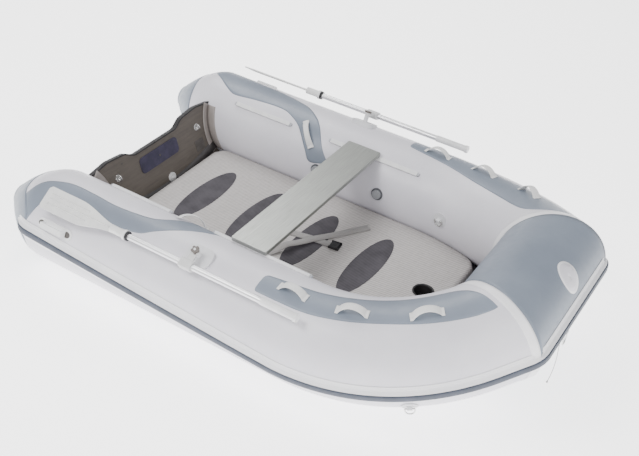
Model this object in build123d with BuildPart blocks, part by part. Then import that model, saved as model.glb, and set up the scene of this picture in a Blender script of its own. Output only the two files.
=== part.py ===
from build123d import *
import os
from math import cos, pi, radians, sin, sqrt, tan

os.makedirs("parts", exist_ok=True)

# ---------------------------------------------------------------- driving dimensions, mm
TUBE_R = 210.0            # outer radius of every buoyancy tube
TUBE_SPREAD = 585.0       # side tube axis off the centreline
STRAIGHT = 1240.0         # straight side tube forward of the transom face
BEND_R = 830.0            # radius of the bow bend, on the tube axis
BEND_TURN = 49.4          # degrees turned in the bend
STUB = 82.0               # straight run from the bend to the bow seam
SHEER = 24.8              # tilt of the bend's plane, which lifts the bow
TUBE_AFT = 20.0           # side tube aft of the transom face
CONE_LENGTH = 260.0       # stern cone, to the rim of its end cap
CONE_END_R = 60.0
CONE_CAP = 20.0
BAFFLE_T = 1.5            # sheet between two air chambers
BAFFLE_WELD = 1.0         # baffle's edge inside the tube skin
FILM_GAP = 0.3            # room left between any two curved skins
SKIN_T = 1.2              # glued-on fabric panel
FLOOR_ABOVE_AXIS = -66.0  # air floor's top from the side tube axis
FLOOR_T = 60.0
FLOOR_AFT = 118.0         # floor's aft edge forward of the transom's top edge
FLOOR_FORE = 1600.0
HULL_SHEET_T = 1.5
HULL_CLEAR = 2.0          # keel line above the ground
DEADRISE = 8.0            # degrees
KEEL_RISE_AT = 1450.0     # where the hull sheet starts to climb to the bow
KEEL_RISE_R = 500.0
KEEL_R = 37.0
TRANSOM_T = 25.0
TRANSOM_RAKE = 18.0
SHOULDER_H = 205.0        # transom's shoulder above the air floor
DIP_H = 180.0             # motor cut-down above the air floor
DIP_HALF = 150.0
STRAKE_PROUD = 25.0
STRAKE_BAND = 24.0        # degrees of tube that the strake's base covers
STRAKE_STERN = 9.0        # strake's height on the tube, degrees above the widest line
STRAKE_BOW = 16.0         # the same in the bend, from the bend's own plane
OAR_ANGLE = 55.4          # degrees round the tube
OAR_LIFT = 50.0           # oar axis off the tube skin
OARLOCK_AT = 789.0
PIN_ANGLE = 62.0          # pivot pin points this way round the tube
PIVOT_REACH = 67.0        # pivot pin inboard of the oar's axis
SHAFT_R = 13.0
PIN_R = 5.0
RUNNING = 0.06            # radial clearance on a turning pin
SEAT_W = 175.0
SEAT_T = 18.0
SEAT_HALF = 470.0
SEAT_AT = 897.0
RAIL_ANGLE = 127.0
RAIL_W = 22.0
RAIL_H = 12.0

# ---------------------------------------------------------------- places worked out from them
tilt, turn, rake = radians(SHEER), radians(BEND_TURN), radians(TRANSOM_RAKE)
bend_forward = BEND_R * sin(turn) + STUB * cos(turn)
bend_inward = BEND_R * (1 - cos(turn)) + STUB * sin(turn)
BOW_TIP = STRAIGHT + bend_forward + TUBE_R + STRAKE_PROUD
STERN_TIP = -(TUBE_AFT + CONE_LENGTH + CONE_CAP)
X0 = -(BOW_TIP + STERN_TIP) / 2           # transom's top edge, with the origin at mid-length
AXIS_Z = TUBE_R
FLOOR_TOP = AXIS_Z + FLOOR_ABOVE_AXIS
STERN_AXIS = Axis((X0, TUBE_SPREAD, AXIS_Z), (1, 0, 0))

out_dir = Vector(0, cos(tilt), -sin(tilt))
up_dir = Vector(0, sin(tilt), cos(tilt))
bend_start_point = Vector(X0 + STRAIGHT, TUBE_SPREAD, AXIS_Z)
bend_centre = bend_start_point - out_dir * BEND_R
end_out = Vector(1, 0, 0) * sin(turn) + out_dir * cos(turn)
end_along = Vector(1, 0, 0) * cos(turn) - out_dir * sin(turn)
bend_end_point = bend_centre + end_out * BEND_R
seam = bend_end_point + end_along * STUB
mitre_dir = (end_along + Vector(0, -1, 0)).normalized()
bend_plane = Plane(origin=bend_start_point, x_dir=(1, 0, 0), z_dir=up_dir)
BEND_START = Plane(origin=bend_start_point, x_dir=out_dir, z_dir=(1, 0, 0))
BEND_END = Plane(origin=bend_end_point, x_dir=end_out, z_dir=end_along)
PORT, STARBOARD = 1, -1


def flip(v):
    """A port-side vector's mirror image on the starboard side."""
    return Vector(v.X, -v.Y, v.Z)


def mitre(offset, side=PORT):
    """Seam plane between a side tube and the bow tube, moved by offset towards the bow tube."""
    point = seam + mitre_dir * offset
    if side == PORT:
        return Plane(origin=point, z_dir=mitre_dir)
    return Plane(origin=flip(point), z_dir=flip(mitre_dir))


def route(s):
    """Point and direction on the port tube's axis, s forward of the transom's top edge."""
    if s <= STRAIGHT:
        return Vector(X0 + s, TUBE_SPREAD, AXIS_Z), Vector(1, 0, 0)
    a = min((s - STRAIGHT) / BEND_R, turn)
    rest = s - STRAIGHT - BEND_R * a
    along = Vector(1, 0, 0) * cos(a) - out_dir * sin(a)
    point = bend_centre + (Vector(1, 0, 0) * sin(a) + out_dir * cos(a)) * BEND_R
    return point + along * rest, along


def on_tube(side, s, angle, lift=0.0, spin=0.0):
    """Plane on the tube skin: x along the tube, z off the skin; angle 0 outboard, 90 on top."""
    point, along = route(s)
    outboard = Vector(0, 0, 1).cross(along).normalized()
    above = along.cross(outboard)
    normal = outboard * cos(radians(angle)) + above * sin(radians(angle))
    origin = point + normal * (TUBE_R + lift)
    if side == STARBOARD:
        origin, along, normal = flip(origin), flip(along), flip(normal)
    across = normal.cross(along)
    x_dir = along * cos(radians(spin * side)) + across * sin(radians(spin * side))
    return Plane(origin=origin, x_dir=x_dir, z_dir=normal)


def edge_on(plane):
    """Plane seen from the side: x as before, y off the skin."""
    return Plane(origin=plane.origin, x_dir=plane.x_dir, z_dir=-plane.y_dir)


def raised(plane, height):
    return Plane(origin=plane.origin + plane.z_dir * height, x_dir=plane.x_dir, z_dir=plane.z_dir)


def shifted(plane, x, y, height=0.0):
    point = plane.origin + plane.x_dir * x + plane.y_dir * y + plane.z_dir * height
    return Plane(origin=point, x_dir=plane.x_dir, z_dir=plane.z_dir)


def save(piece, name):
    piece.label = name
    export_step(piece, f"parts/{name}.step")


def save_pair(piece, noun):
    """Writes a port piece, and its mirror image for the starboard side."""
    save(piece, f"port_{noun}")
    with BuildPart() as twin:
        add(piece)
        mirror(about=Plane.XZ, mode=Mode.REPLACE)
    save(twin.part, f"starboard_{noun}")


def save_both(piece, name):
    """Writes a port piece and its mirror image as two solids of one node."""
    with BuildPart() as pair:
        add(piece)
        mirror(about=Plane.XZ)
    save(pair.part, name)


def tube_solid(radius, back, stub):
    """Port side tube of any radius: straight run, bow bend and stub."""
    with BuildPart() as body:
        with BuildSketch(BEND_START):
            Circle(radius)
        extrude(amount=-back)
        with BuildSketch(BEND_START):
            Circle(radius)
        revolve(axis=Axis(bend_centre, -up_dir), revolution_arc=BEND_TURN)
        with BuildSketch(BEND_END):
            Circle(radius)
        extrude(amount=stub)
    return body.part


LONG_STUB = STUB + 1.2 * TUBE_R
BACK = STRAIGHT + TUBE_AFT

# ---------------------------------------------------------------- air chambers
with BuildPart() as side_tube:
    add(tube_solid(TUBE_R, BACK, LONG_STUB))
    split(bisect_by=mitre(-BAFFLE_T / 2), keep=Keep.BOTTOM)
save_pair(side_tube.part, "tube")

with BuildPart() as bow_tube:
    with BuildSketch(Plane(origin=(seam.X, 0, seam.Z), z_dir=(0, 1, 0))):
        Circle(TUBE_R)
    extrude(amount=seam.Y + TUBE_R, both=True)
    split(bisect_by=mitre(BAFFLE_T / 2), keep=Keep.TOP)
    split(bisect_by=mitre(BAFFLE_T / 2, STARBOARD), keep=Keep.TOP)
save(bow_tube.part, "bow_tube")

with BuildPart() as baffle:
    with BuildSketch(BEND_END):
        Circle(TUBE_R - BAFFLE_WELD)
    extrude(amount=LONG_STUB)
    split(bisect_by=mitre(-BAFFLE_T / 2), keep=Keep.TOP)
    split(bisect_by=mitre(BAFFLE_T / 2), keep=Keep.BOTTOM)
save_both(baffle.part, "chamber_baffles")

with BuildPart() as cone:
    cone_plane = Plane(origin=(X0 - TUBE_AFT, TUBE_SPREAD, AXIS_Z), x_dir=(1, 0, 0), z_dir=(0, -1, 0))
    cone_mid_r = TUBE_R - 0.3536 * (TUBE_R - CONE_END_R)
    with BuildSketch(cone_plane):
        with BuildLine():
            Line((0, 0), (0, TUBE_R))
            ThreePointArc((0, TUBE_R), (-CONE_LENGTH / 2, cone_mid_r), (-CONE_LENGTH, CONE_END_R))
            cap_end = -CONE_LENGTH - CONE_CAP
            Polyline((-CONE_LENGTH, CONE_END_R), (cap_end, CONE_END_R / 2), (cap_end, 0), (0, 0))
        make_face()
    revolve(axis=STERN_AXIS)
save_pair(cone.part, "stern_cone")

# solids that cut a clearance round the tubes
near_core = tube_solid(TUBE_R + FILM_GAP, BACK, LONG_STUB)
with BuildPart() as far_core_builder:
    add(near_core)
    mirror(about=Plane.XZ, mode=Mode.REPLACE)
far_core = far_core_builder.part
with BuildPart() as bow_core_builder:
    with BuildSketch(Plane(origin=(seam.X, 0, seam.Z), z_dir=(0, 1, 0))):
        Circle(TUBE_R + FILM_GAP)
    extrude(amount=seam.Y + TUBE_R, both=True)
bow_core = bow_core_builder.part


def sleeve(low, high, back):
    """Thin skin round the port tube, between two heights off it."""
    with BuildPart() as skin:
        with BuildSketch(BEND_START):
            Circle(TUBE_R + high)
            Circle(TUBE_R + low, mode=Mode.SUBTRACT)
        extrude(amount=-back)
        with BuildSketch(BEND_START):
            Circle(TUBE_R + high)
            Circle(TUBE_R + low, mode=Mode.SUBTRACT)
        revolve(axis=Axis(bend_centre, -up_dir), revolution_arc=BEND_TURN)
        with BuildSketch(BEND_END):
            Circle(TUBE_R + high)
            Circle(TUBE_R + low, mode=Mode.SUBTRACT)
        extrude(amount=STUB)
    return skin.part


# ---------------------------------------------------------------- coloured panels on the tubes
PANEL_HI = FILM_GAP + SKIN_T
FORE_PANEL_AT = 1075.0    # fore panel's aft end
FORE_PANEL_W = 138.0      # its width, seen square to the bend
FORE_PANEL_AFT_W = 79.0
FORE_WIDE_FROM = 12.0     # degrees into the bend where it reaches full width
FORE_PANEL_END = 40.0     # length on the stub

with BuildPart() as fore_panel:
    add(sleeve(FILM_GAP, PANEL_HI, STRAIGHT - FORE_PANEL_AT))
    aft = FORE_PANEL_AT - STRAIGHT
    inner_r = BEND_R - FORE_PANEL_W
    wide = radians(FORE_WIDE_FROM)
    wide_point = (inner_r * sin(wide), inner_r * cos(wide) - BEND_R)
    outer_end = (BEND_R * sin(turn), BEND_R * cos(turn) - BEND_R)
    inner_end = (inner_r * sin(turn), inner_r * cos(turn) - BEND_R)
    tip = (outer_end[0] + FORE_PANEL_END * cos(turn), outer_end[1] - FORE_PANEL_END * sin(turn))
    with BuildSketch(bend_plane):
        with BuildLine():
            Polyline((0, 0), (aft, 0), (aft, -FORE_PANEL_AFT_W), wide_point)
            CenterArc((0, -BEND_R), inner_r, 90 - FORE_WIDE_FROM, FORE_WIDE_FROM - BEND_TURN)
            Polyline(inner_end, tip, outer_end)
            CenterArc((0, -BEND_R), BEND_R, 90 - BEND_TURN, BEND_TURN)
        make_face()
    extrude(amount=2 * TUBE_R, mode=Mode.INTERSECT)
save_pair(fore_panel.part, "fore_panel")

AFT_PANEL_VIEW = 115.0    # the outline is drawn square to this line round the tube
aft_outline = [(-19, 97), (120, 100), (300, 98), (420, 99), (490, 106), (540, 122), (590, 146), (640, 163),
               (745, 159), (690, 132), (630, 108), (575, 92), (500, 79), (430, 66), (300, 61), (100, 58), (-19, 56)]


def aft_point(s, angle):
    return (s, TUBE_R * sin(radians(AFT_PANEL_VIEW - angle)))


with BuildPart() as aft_panel:
    with BuildSketch(Plane(origin=(X0 - TUBE_AFT, TUBE_SPREAD, AXIS_Z), z_dir=(1, 0, 0))):
        Circle(TUBE_R + PANEL_HI)
        Circle(TUBE_R + FILM_GAP, mode=Mode.SUBTRACT)
    extrude(amount=TUBE_AFT + 800)
    view = on_tube(PORT, 0, AFT_PANEL_VIEW, -TUBE_R)
    with BuildSketch(view):
        with BuildLine():
            Polyline(*[aft_point(*p) for p in aft_outline], close=True)
        make_face()
    extrude(amount=TUBE_R + 40, mode=Mode.INTERSECT)
save_pair(aft_panel.part, "aft_panel")

# ---------------------------------------------------------------- rub strake
BAND_T = 3.0
STRAKE_HALF = 17.0
STRIPE_HALF = 7.0
STRIPE_T = 2.7


def strake_profile():
    half = STRAKE_BAND / 2
    low, high = TUBE_R + FILM_GAP, TUBE_R + FILM_GAP + BAND_T
    top = TUBE_R + STRAKE_PROUD - STRIPE_T - FILM_GAP
    with BuildLine() as band:
        CenterArc((0, 0), low, -half, 2 * half)
        CenterArc((0, 0), high, -half, 2 * half)
        for end in (-half, half):
            c, s = cos(radians(end)), sin(radians(end))
            Line((low * c, low * s), (high * c, high * s))
    make_face(band.edges())
    with Locations(((low + top) / 2, 0)):
        RectangleRounded(top - low + 4, 2 * STRAKE_HALF, 6)
    with Locations((top, 0)):
        Rectangle(8, 4 * STRAKE_HALF, align=(Align.MIN, Align.CENTER), mode=Mode.SUBTRACT)
    Circle(low, mode=Mode.SUBTRACT)


def stripe_profile():
    low = TUBE_R + STRAKE_PROUD - STRIPE_T
    with Locations((low, 0)):
        Rectangle(STRIPE_T, 2 * STRIPE_HALF, align=(Align.MIN, Align.CENTER))


def radial(plane, angle):
    """The same section plane, with x turned by angle about the tube axis."""
    a = radians(angle)
    return Plane(origin=plane.origin, x_dir=plane.x_dir * cos(a) + plane.y_dir * sin(a), z_dir=plane.z_dir)


def strake_length(profile):
    """Strake or stripe round the whole hull, as one piece."""
    steps = 6
    with BuildPart() as run:
        for k in range(steps + 1):
            share = k / steps
            x = X0 - TUBE_AFT + (STRAIGHT + TUBE_AFT) * share
            level = Plane(origin=(x, TUBE_SPREAD, AXIS_Z), x_dir=(0, 1, 0), z_dir=(1, 0, 0))
            angle = STRAKE_STERN + (STRAKE_BOW - SHEER - STRAKE_STERN) * share
            with BuildSketch(radial(level, angle)):
                profile()
        loft()
        with BuildSketch(radial(BEND_START, STRAKE_BOW)):
            profile()
        revolve(axis=Axis(bend_centre, -up_dir), revolution_arc=BEND_TURN)
        with BuildSketch(radial(BEND_END, STRAKE_BOW)):
            profile()
        extrude(amount=LONG_STUB)
        split(bisect_by=mitre(0), keep=Keep.BOTTOM)
    side_radial = radial(BEND_END, STRAKE_BOW).x_dir
    bow_radial = side_radial - mitre_dir * (2 * side_radial.dot(mitre_dir))
    with BuildPart() as across:
        with BuildSketch(Plane(origin=(seam.X, 0, seam.Z), x_dir=bow_radial, z_dir=(0, -1, 0))):
            profile()
        extrude(amount=seam.Y + TUBE_R, both=True)
        split(bisect_by=mitre(0), keep=Keep.TOP)
        split(bisect_by=mitre(0, STARBOARD), keep=Keep.TOP)
    with BuildPart() as whole:
        add(run.part)
        mirror(about=Plane.XZ)
        add(across.part)
    return whole.part


save(strake_length(strake_profile), "rub_strake")
save(strake_length(stripe_profile), "rub_stripe")


# ---------------------------------------------------------------- floor, hull sheet and keel
FLOOR_HALF = 500.0
KEEL_HOLE_AT = 1494.0
KEEL_HOLE_R = 42.0
AIR_VALVE_AT = (230.0, -300.0)
AIR_VALVE_R = 30.0
AIR_VALVE_DEEP = 14.0
floor_base = Plane.XY.offset(FLOOR_TOP - FLOOR_T)

with BuildPart() as air_floor:
    with BuildSketch(floor_base):
        with Locations((X0 + (FLOOR_AFT + FLOOR_FORE) / 2, 0)):
            Rectangle(FLOOR_FORE - FLOOR_AFT, 2 * FLOOR_HALF)
    extrude(amount=FLOOR_T)
    add(near_core, mode=Mode.SUBTRACT)
    add(far_core, mode=Mode.SUBTRACT)
    with BuildSketch(floor_base):
        with Locations((X0 + KEEL_HOLE_AT, 0)):
            Circle(KEEL_HOLE_R)
    extrude(amount=FLOOR_T, mode=Mode.SUBTRACT)
    with BuildSketch(Plane.XY.offset(FLOOR_TOP)):
        with Locations((X0 + AIR_VALVE_AT[0], AIR_VALVE_AT[1])):
            Circle(AIR_VALVE_R)
    extrude(amount=-AIR_VALVE_DEEP, mode=Mode.SUBTRACT)
save(air_floor.part, "air_floor")

PAD_PLACES = (313.0, 608.0, 908.0, 1205.0)
PAD_LONG, PAD_WIDE, PAD_T = 230.0, 66.0, 1.5
with BuildPart() as pads:
    with BuildSketch(Plane.XY.offset(FLOOR_TOP)):
        with Locations(*[(X0 + x, 0) for x in PAD_PLACES]):
            Ellipse(PAD_WIDE, PAD_LONG)
    extrude(amount=PAD_T)
save(pads.part, "traction_pads")

keel_slope = tan(radians(DEADRISE))
SHEET_HALF = 470.0


def hull_section():
    rise = SHEET_HALF * keel_slope
    with BuildLine() as vee:
        Polyline((0, 0), (SHEET_HALF, rise), (SHEET_HALF, rise + HULL_SHEET_T), (0, HULL_SHEET_T),
                 (-SHEET_HALF, rise + HULL_SHEET_T), (-SHEET_HALF, rise), close=True)
    make_face(vee.edges())


SHEET_AFT = 75.0
keel_turn = Plane(origin=(X0 + KEEL_RISE_AT, 0, HULL_CLEAR), x_dir=(0, 1, 0), z_dir=(1, 0, 0))
with BuildPart() as hull_sheet:
    with BuildSketch(keel_turn):
        hull_section()
    extrude(amount=SHEET_AFT - KEEL_RISE_AT)
    with BuildSketch(keel_turn):
        hull_section()
    rise_centre = (X0 + KEEL_RISE_AT, 0, HULL_CLEAR + KEEL_RISE_R)
    revolve(axis=Axis(rise_centre, (0, -1, 0)), revolution_arc=62)
    add(near_core, mode=Mode.SUBTRACT)
    add(far_core, mode=Mode.SUBTRACT)
    add(bow_core, mode=Mode.SUBTRACT)
save(hull_sheet.part, "hull_sheet")

KEEL_AXIS_Z = HULL_CLEAR + HULL_SHEET_T + KEEL_R * 1.02
KEEL_AFT, KEEL_NOSE_FROM, KEEL_NOSE, KEEL_NOSE_R = 160.0, 1440.0, 1540.0, 20.0
KEEL_TAIL = 60.0
keel_view = Plane(origin=(X0, 0, KEEL_AXIS_Z), x_dir=(1, 0, 0), z_dir=(0, -1, 0))
with BuildPart() as keel:
    with BuildSketch(keel_view):
        with BuildLine():
            Polyline((KEEL_AFT, 0), (KEEL_AFT, KEEL_NOSE_R), (KEEL_AFT + KEEL_TAIL, KEEL_R),
                     (KEEL_NOSE_FROM, KEEL_R), (KEEL_NOSE, KEEL_NOSE_R), (KEEL_NOSE, 0), close=True)
        make_face()
    revolve(axis=Axis((X0, 0, KEEL_AXIS_Z), (1, 0, 0)))
save(keel.part, "keel_tube")

# ---------------------------------------------------------------- transom
rake_forward = SHOULDER_H * tan(rake)
board = Plane(origin=(X0 + rake_forward, 0, FLOOR_TOP), x_dir=(0, 1, 0), z_dir=(cos(rake), 0, sin(rake)))
SHOULDER_Y, PEAK_Y, SLOPE_Y = 430.0, 320.0, 205.0
PEAK_EXTRA = 15.0
BOARD_HALF = 450.0
BOARD_GAP = 0.4           # board's edges to the tubes


def up_board(z):
    """Height above the floor, measured up the raked board."""
    return z / cos(rake)


keel_under = HULL_CLEAR + HULL_SHEET_T + FILM_GAP + TRANSOM_T * sin(rake) - FLOOR_TOP
BOARD_TOP = [(BOARD_HALF, SHOULDER_H - 20), (SHOULDER_Y, SHOULDER_H), (PEAK_Y, SHOULDER_H + PEAK_EXTRA),
             (SLOPE_Y, SHOULDER_H + 5), (DIP_HALF, DIP_H)]
with BuildPart() as tube_gap_builder:
    with BuildSketch(Plane(origin=(X0 - 100, TUBE_SPREAD, AXIS_Z), z_dir=(1, 0, 0))):
        Circle(TUBE_R + BOARD_GAP)
    extrude(amount=400)
    mirror(about=Plane.XZ)
tube_gap = tube_gap_builder.part

with BuildPart() as transom:
    with BuildSketch(board):
        low_side = keel_under + BOARD_HALF * keel_slope
        right = [(y, up_board(z)) for y, z in BOARD_TOP]
        left = [(-y, up_board(z)) for y, z in reversed(BOARD_TOP)]
        foot = [(-BOARD_HALF, up_board(low_side)), (0, up_board(keel_under)), (BOARD_HALF, up_board(low_side))]
        with BuildLine():
            Polyline(*(right + left + foot), close=True)
        make_face()
    extrude(amount=-TRANSOM_T)
    add(tube_gap, mode=Mode.SUBTRACT)
save(transom.part, "transom_board")


# motor pads, eyes, drain and plate on the transom; x across, y up the board, z off its forward face
MOTOR_PAD = (270.0, 80.0, 4.0)
MOTOR_PAD_MID = 112.0
PAD_CORNER = 20.0
aft_board = Plane(origin=board.origin - board.z_dir * TRANSOM_T, x_dir=(0, -1, 0), z_dir=-board.z_dir)
for face, name in ((board, "inner_motor_pad"), (aft_board, "outer_motor_pad")):
    with BuildPart() as motor_pad:
        with BuildSketch(face):
            with Locations((0, up_board(MOTOR_PAD_MID))):
                RectangleRounded(MOTOR_PAD[0], MOTOR_PAD[1], PAD_CORNER)
        extrude(amount=MOTOR_PAD[2])
    save(motor_pad.part, name)

EYE_Y, EYE_H = 289.0, 130.0
EYE_PLATE_R, EYE_PLATE_T = 17.0, 4.0
EYE_RING_R, EYE_WIRE_R = 11.0, 3.5
with BuildPart() as eye:
    foot_plane = shifted(board, EYE_Y, up_board(EYE_H))
    with BuildSketch(foot_plane):
        Circle(EYE_PLATE_R)
    extrude(amount=EYE_PLATE_T)
    ring_plane = Plane(origin=foot_plane.origin + board.z_dir * (EYE_PLATE_T + EYE_RING_R),
                       x_dir=board.z_dir, z_dir=board.x_dir)
    with BuildSketch(Plane(origin=ring_plane.origin + board.y_dir * EYE_RING_R, x_dir=board.y_dir,
                           z_dir=board.z_dir)):
        Circle(EYE_WIRE_R)
    revolve(axis=Axis(ring_plane.origin, board.x_dir))
save_both(eye.part, "transom_eyes")

DRAIN_Y, DRAIN_H = 40.0, -20.0
DRAIN_R, DRAIN_FLANGE_R, DRAIN_FLANGE_T = 13.0, 24.0, 4.0
PLUG_CLEAR = 0.3
with BuildPart() as drain:
    drain_plane = shifted(board, DRAIN_Y, up_board(DRAIN_H))
    with BuildSketch(drain_plane):
        Circle(DRAIN_FLANGE_R)
        Circle(DRAIN_R, mode=Mode.SUBTRACT)
    extrude(amount=DRAIN_FLANGE_T)
save(drain.part, "drain_socket")
with BuildPart() as plug:
    with BuildSketch(drain_plane):
        Circle(DRAIN_R - PLUG_CLEAR)
    extrude(amount=DRAIN_FLANGE_T + PLUG_CLEAR)
    with BuildSketch(raised(drain_plane, DRAIN_FLANGE_T + PLUG_CLEAR)):
        Circle(DRAIN_R + 4)
    extrude(amount=4)
    with BuildSketch(raised(drain_plane, DRAIN_FLANGE_T + PLUG_CLEAR + 4)):
        Rectangle(20, 5)
    extrude(amount=7)
save(plug.part, "drain_plug")

PLATE = (62.0, 58.0, 2.0)
PLATE_Y, PLATE_H = 285.0, 40.0
with BuildPart() as plate:
    with BuildSketch(shifted(board, PLATE_Y, up_board(PLATE_H))):
        RectangleRounded(PLATE[0], PLATE[1], 4)
    extrude(amount=PLATE[2])
save(plate.part, "blank_plate")

FLANGE_W, FLANGE_T = 46.0, 1.8
with BuildPart() as flange:
    with BuildSketch(shifted(board, 0, 0, FILM_GAP)):
        with Locations((TUBE_SPREAD - TUBE_R, 0)):
            Rectangle(300, 2 * up_board(SHOULDER_H))
    extrude(amount=FLANGE_W)
    with BuildSketch(Plane(origin=(X0 - 100, TUBE_SPREAD, AXIS_Z), z_dir=(1, 0, 0))):
        Circle(TUBE_R + FILM_GAP + FLANGE_T)
        Circle(TUBE_R + FILM_GAP, mode=Mode.SUBTRACT)
    extrude(amount=500, mode=Mode.INTERSECT)
    split(bisect_by=Plane.XY.offset(FLOOR_TOP), keep=Keep.TOP)
    split(bisect_by=Plane.XY.offset(FLOOR_TOP + SHOULDER_H - 15), keep=Keep.BOTTOM)
    split(bisect_by=Plane(origin=(0, TUBE_SPREAD, 0), z_dir=(0, 1, 0)), keep=Keep.BOTTOM)
save_both(flange.part, "transom_flanges")

# ---------------------------------------------------------------- seat and its rails
RAILS = ((160.0, 480.0), (720.0, 1190.0))
RAIL_ROUND = 2.0
with BuildPart() as rails:
    for start, end in RAILS:
        base = on_tube(PORT, (start + end) / 2, RAIL_ANGLE, FILM_GAP)
        section = Plane(origin=base.origin - base.x_dir * (end - start) / 2, x_dir=base.y_dir, z_dir=base.x_dir)
        with BuildSketch(section):
            with Locations((0, RAIL_H / 2)):
                RectangleRounded(RAIL_W, RAIL_H, RAIL_ROUND)
        extrude(amount=end - start)
    rounds = [shifted(base, 0, end * (RAIL_W / 2 - RAIL_ROUND), RAIL_H - RAIL_ROUND) for end in (-1, 1)]
    rail_top_z = max(place.origin.Z for place in rounds) + RAIL_ROUND
save_both(rails.part, "seat_rails")

SEAT_GAP = 0.3
with BuildPart() as seat:
    with BuildSketch(Plane.XY.offset(rail_top_z + SEAT_GAP)):
        with Locations((X0 + SEAT_AT, 0)):
            RectangleRounded(SEAT_W, 2 * SEAT_HALF, 6)
    extrude(amount=SEAT_T)
    chamfer(seat.faces().sort_by(Axis.Z)[-1].edges(), 1.5)
save(seat.part, "seat_plank")

# ---------------------------------------------------------------- oars and oarlocks
FIT = 0.02                # radial room in a glued or clamped fit
OAR_END, GRIP_FROM, BLADE_NECK, BLADE_END = 1310.0, 1145.0, 440.0, 30.0
GRIP_R, GRIP_END_R, GRIP_END = 15.5, 18.0, 14.0
BLADE_HALF, BLADE_T, NECK_HALF = 52.0, 6.0, 15.0
BLADE_WIDE_TO, BLADE_CORNER = 200.0, 12.0
SOCKET_WALL, SOCKET_IN, SOCKET_OUT = 4.0, 40.0, 30.0
COLLAR_R, COLLAR_W = 22.0, 12.0
oar = on_tube(PORT, OARLOCK_AT, OAR_ANGLE, OAR_LIFT)     # x forward along the shaft, z off the tube


def oar_at(s):
    """Section plane of the oar, s forward of the transom's top edge."""
    return Plane(origin=oar.origin + oar.x_dir * (s - OARLOCK_AT), x_dir=oar.y_dir, z_dir=oar.x_dir)


with BuildPart() as shaft:
    with BuildSketch(oar_at(BLADE_NECK)):
        Circle(SHAFT_R)
    extrude(amount=OAR_END - GRIP_END - BLADE_NECK)
save_pair(shaft.part, "oar_shaft")

with BuildPart() as grip:
    with BuildSketch(oar_at(GRIP_FROM)):
        Circle(GRIP_R)
    extrude(amount=OAR_END - GRIP_END - GRIP_FROM)
    with BuildSketch(oar_at(OAR_END - GRIP_END)):
        Circle(GRIP_END_R)
    extrude(amount=GRIP_END)
    with BuildSketch(oar_at(GRIP_FROM)):
        Circle(SHAFT_R + FIT)
    extrude(amount=OAR_END - GRIP_END + FIT - GRIP_FROM, mode=Mode.SUBTRACT)
save_pair(grip.part, "oar_grip")

with BuildPart() as collar:
    with BuildSketch(oar_at(BLADE_NECK + SOCKET_OUT)):
        Circle(COLLAR_R)
        Circle(SHAFT_R + FIT, mode=Mode.SUBTRACT)
    extrude(amount=COLLAR_W)
save_pair(collar.part, "oar_collar")

with BuildPart() as blade:
    blade_origin = oar.origin - oar.x_dir * OARLOCK_AT - oar.z_dir * BLADE_T / 2
    with BuildSketch(Plane(origin=blade_origin, x_dir=oar.x_dir, z_dir=oar.z_dir)):
        neck = [(BLADE_NECK, NECK_HALF), (350, 24), (270, 44), (BLADE_WIDE_TO, BLADE_HALF)]
        other = [(x, -y) for x, y in reversed(neck)]
        tip_in, half_in = BLADE_END + BLADE_CORNER, BLADE_HALF - BLADE_CORNER
        with BuildLine():
            Line(other[-1], neck[0])
            Spline(*neck, tangents=((-1, 0), (-1, 0)))
            Polyline(neck[-1], (tip_in, BLADE_HALF), (BLADE_END, half_in), (BLADE_END, -half_in),
                     (tip_in, -BLADE_HALF), other[0])
            Spline(*other, tangents=((1, 0), (1, 0)))
        make_face()
    extrude(amount=BLADE_T)
    with BuildSketch(oar_at(BLADE_NECK - SOCKET_IN)):
        Circle(SHAFT_R + SOCKET_WALL)
    extrude(amount=SOCKET_IN + SOCKET_OUT - FILM_GAP)
    with BuildSketch(oar_at(BLADE_NECK - FIT)):
        Circle(SHAFT_R + FIT)
    extrude(amount=SOCKET_OUT, mode=Mode.SUBTRACT)
save_pair(blade.part, "oar_blade")

CLAMP_LONG, CLAMP_WIDE, CLAMP_HIGH, CLAMP_ROUND = 56.0, 40.0, 38.0, 8.0
LUG_T, LUG_R = 10.0, 15.0
pin_lean = radians(PIN_ANGLE - OAR_ANGLE)
pivot_side = (TUBE_R + OAR_LIFT) * sin(pin_lean) - PIVOT_REACH
pivot_height = (TUBE_R + OAR_LIFT) * cos(pin_lean)
pivot = shifted(on_tube(PORT, OARLOCK_AT, PIN_ANGLE, -TUBE_R), 0, pivot_side, pivot_height)   # y outboard
PIVOT_LIFT = pivot_height - sqrt(TUBE_R ** 2 - pivot_side ** 2)
clamp_section = Plane(origin=oar.origin - pivot.x_dir * CLAMP_LONG / 2, x_dir=pivot.y_dir, z_dir=pivot.x_dir)
with BuildPart() as clamp:
    with BuildSketch(clamp_section):
        RectangleRounded(CLAMP_WIDE, CLAMP_HIGH, CLAMP_ROUND)
    extrude(amount=CLAMP_LONG)
    with BuildSketch(raised(pivot, -LUG_T / 2)):
        with Locations((0, PIVOT_REACH / 2)):
            Rectangle(2 * LUG_R, PIVOT_REACH)
        Circle(LUG_R)
    extrude(amount=LUG_T)
    with BuildSketch(clamp_section):
        Circle(SHAFT_R + FIT)
    extrude(amount=CLAMP_LONG, mode=Mode.SUBTRACT)
    with BuildSketch(raised(pivot, -LUG_T)):
        Circle(PIN_R + RUNNING)
    extrude(amount=2 * LUG_T, mode=Mode.SUBTRACT)
save_pair(clamp.part, "oar_clamp")

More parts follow.
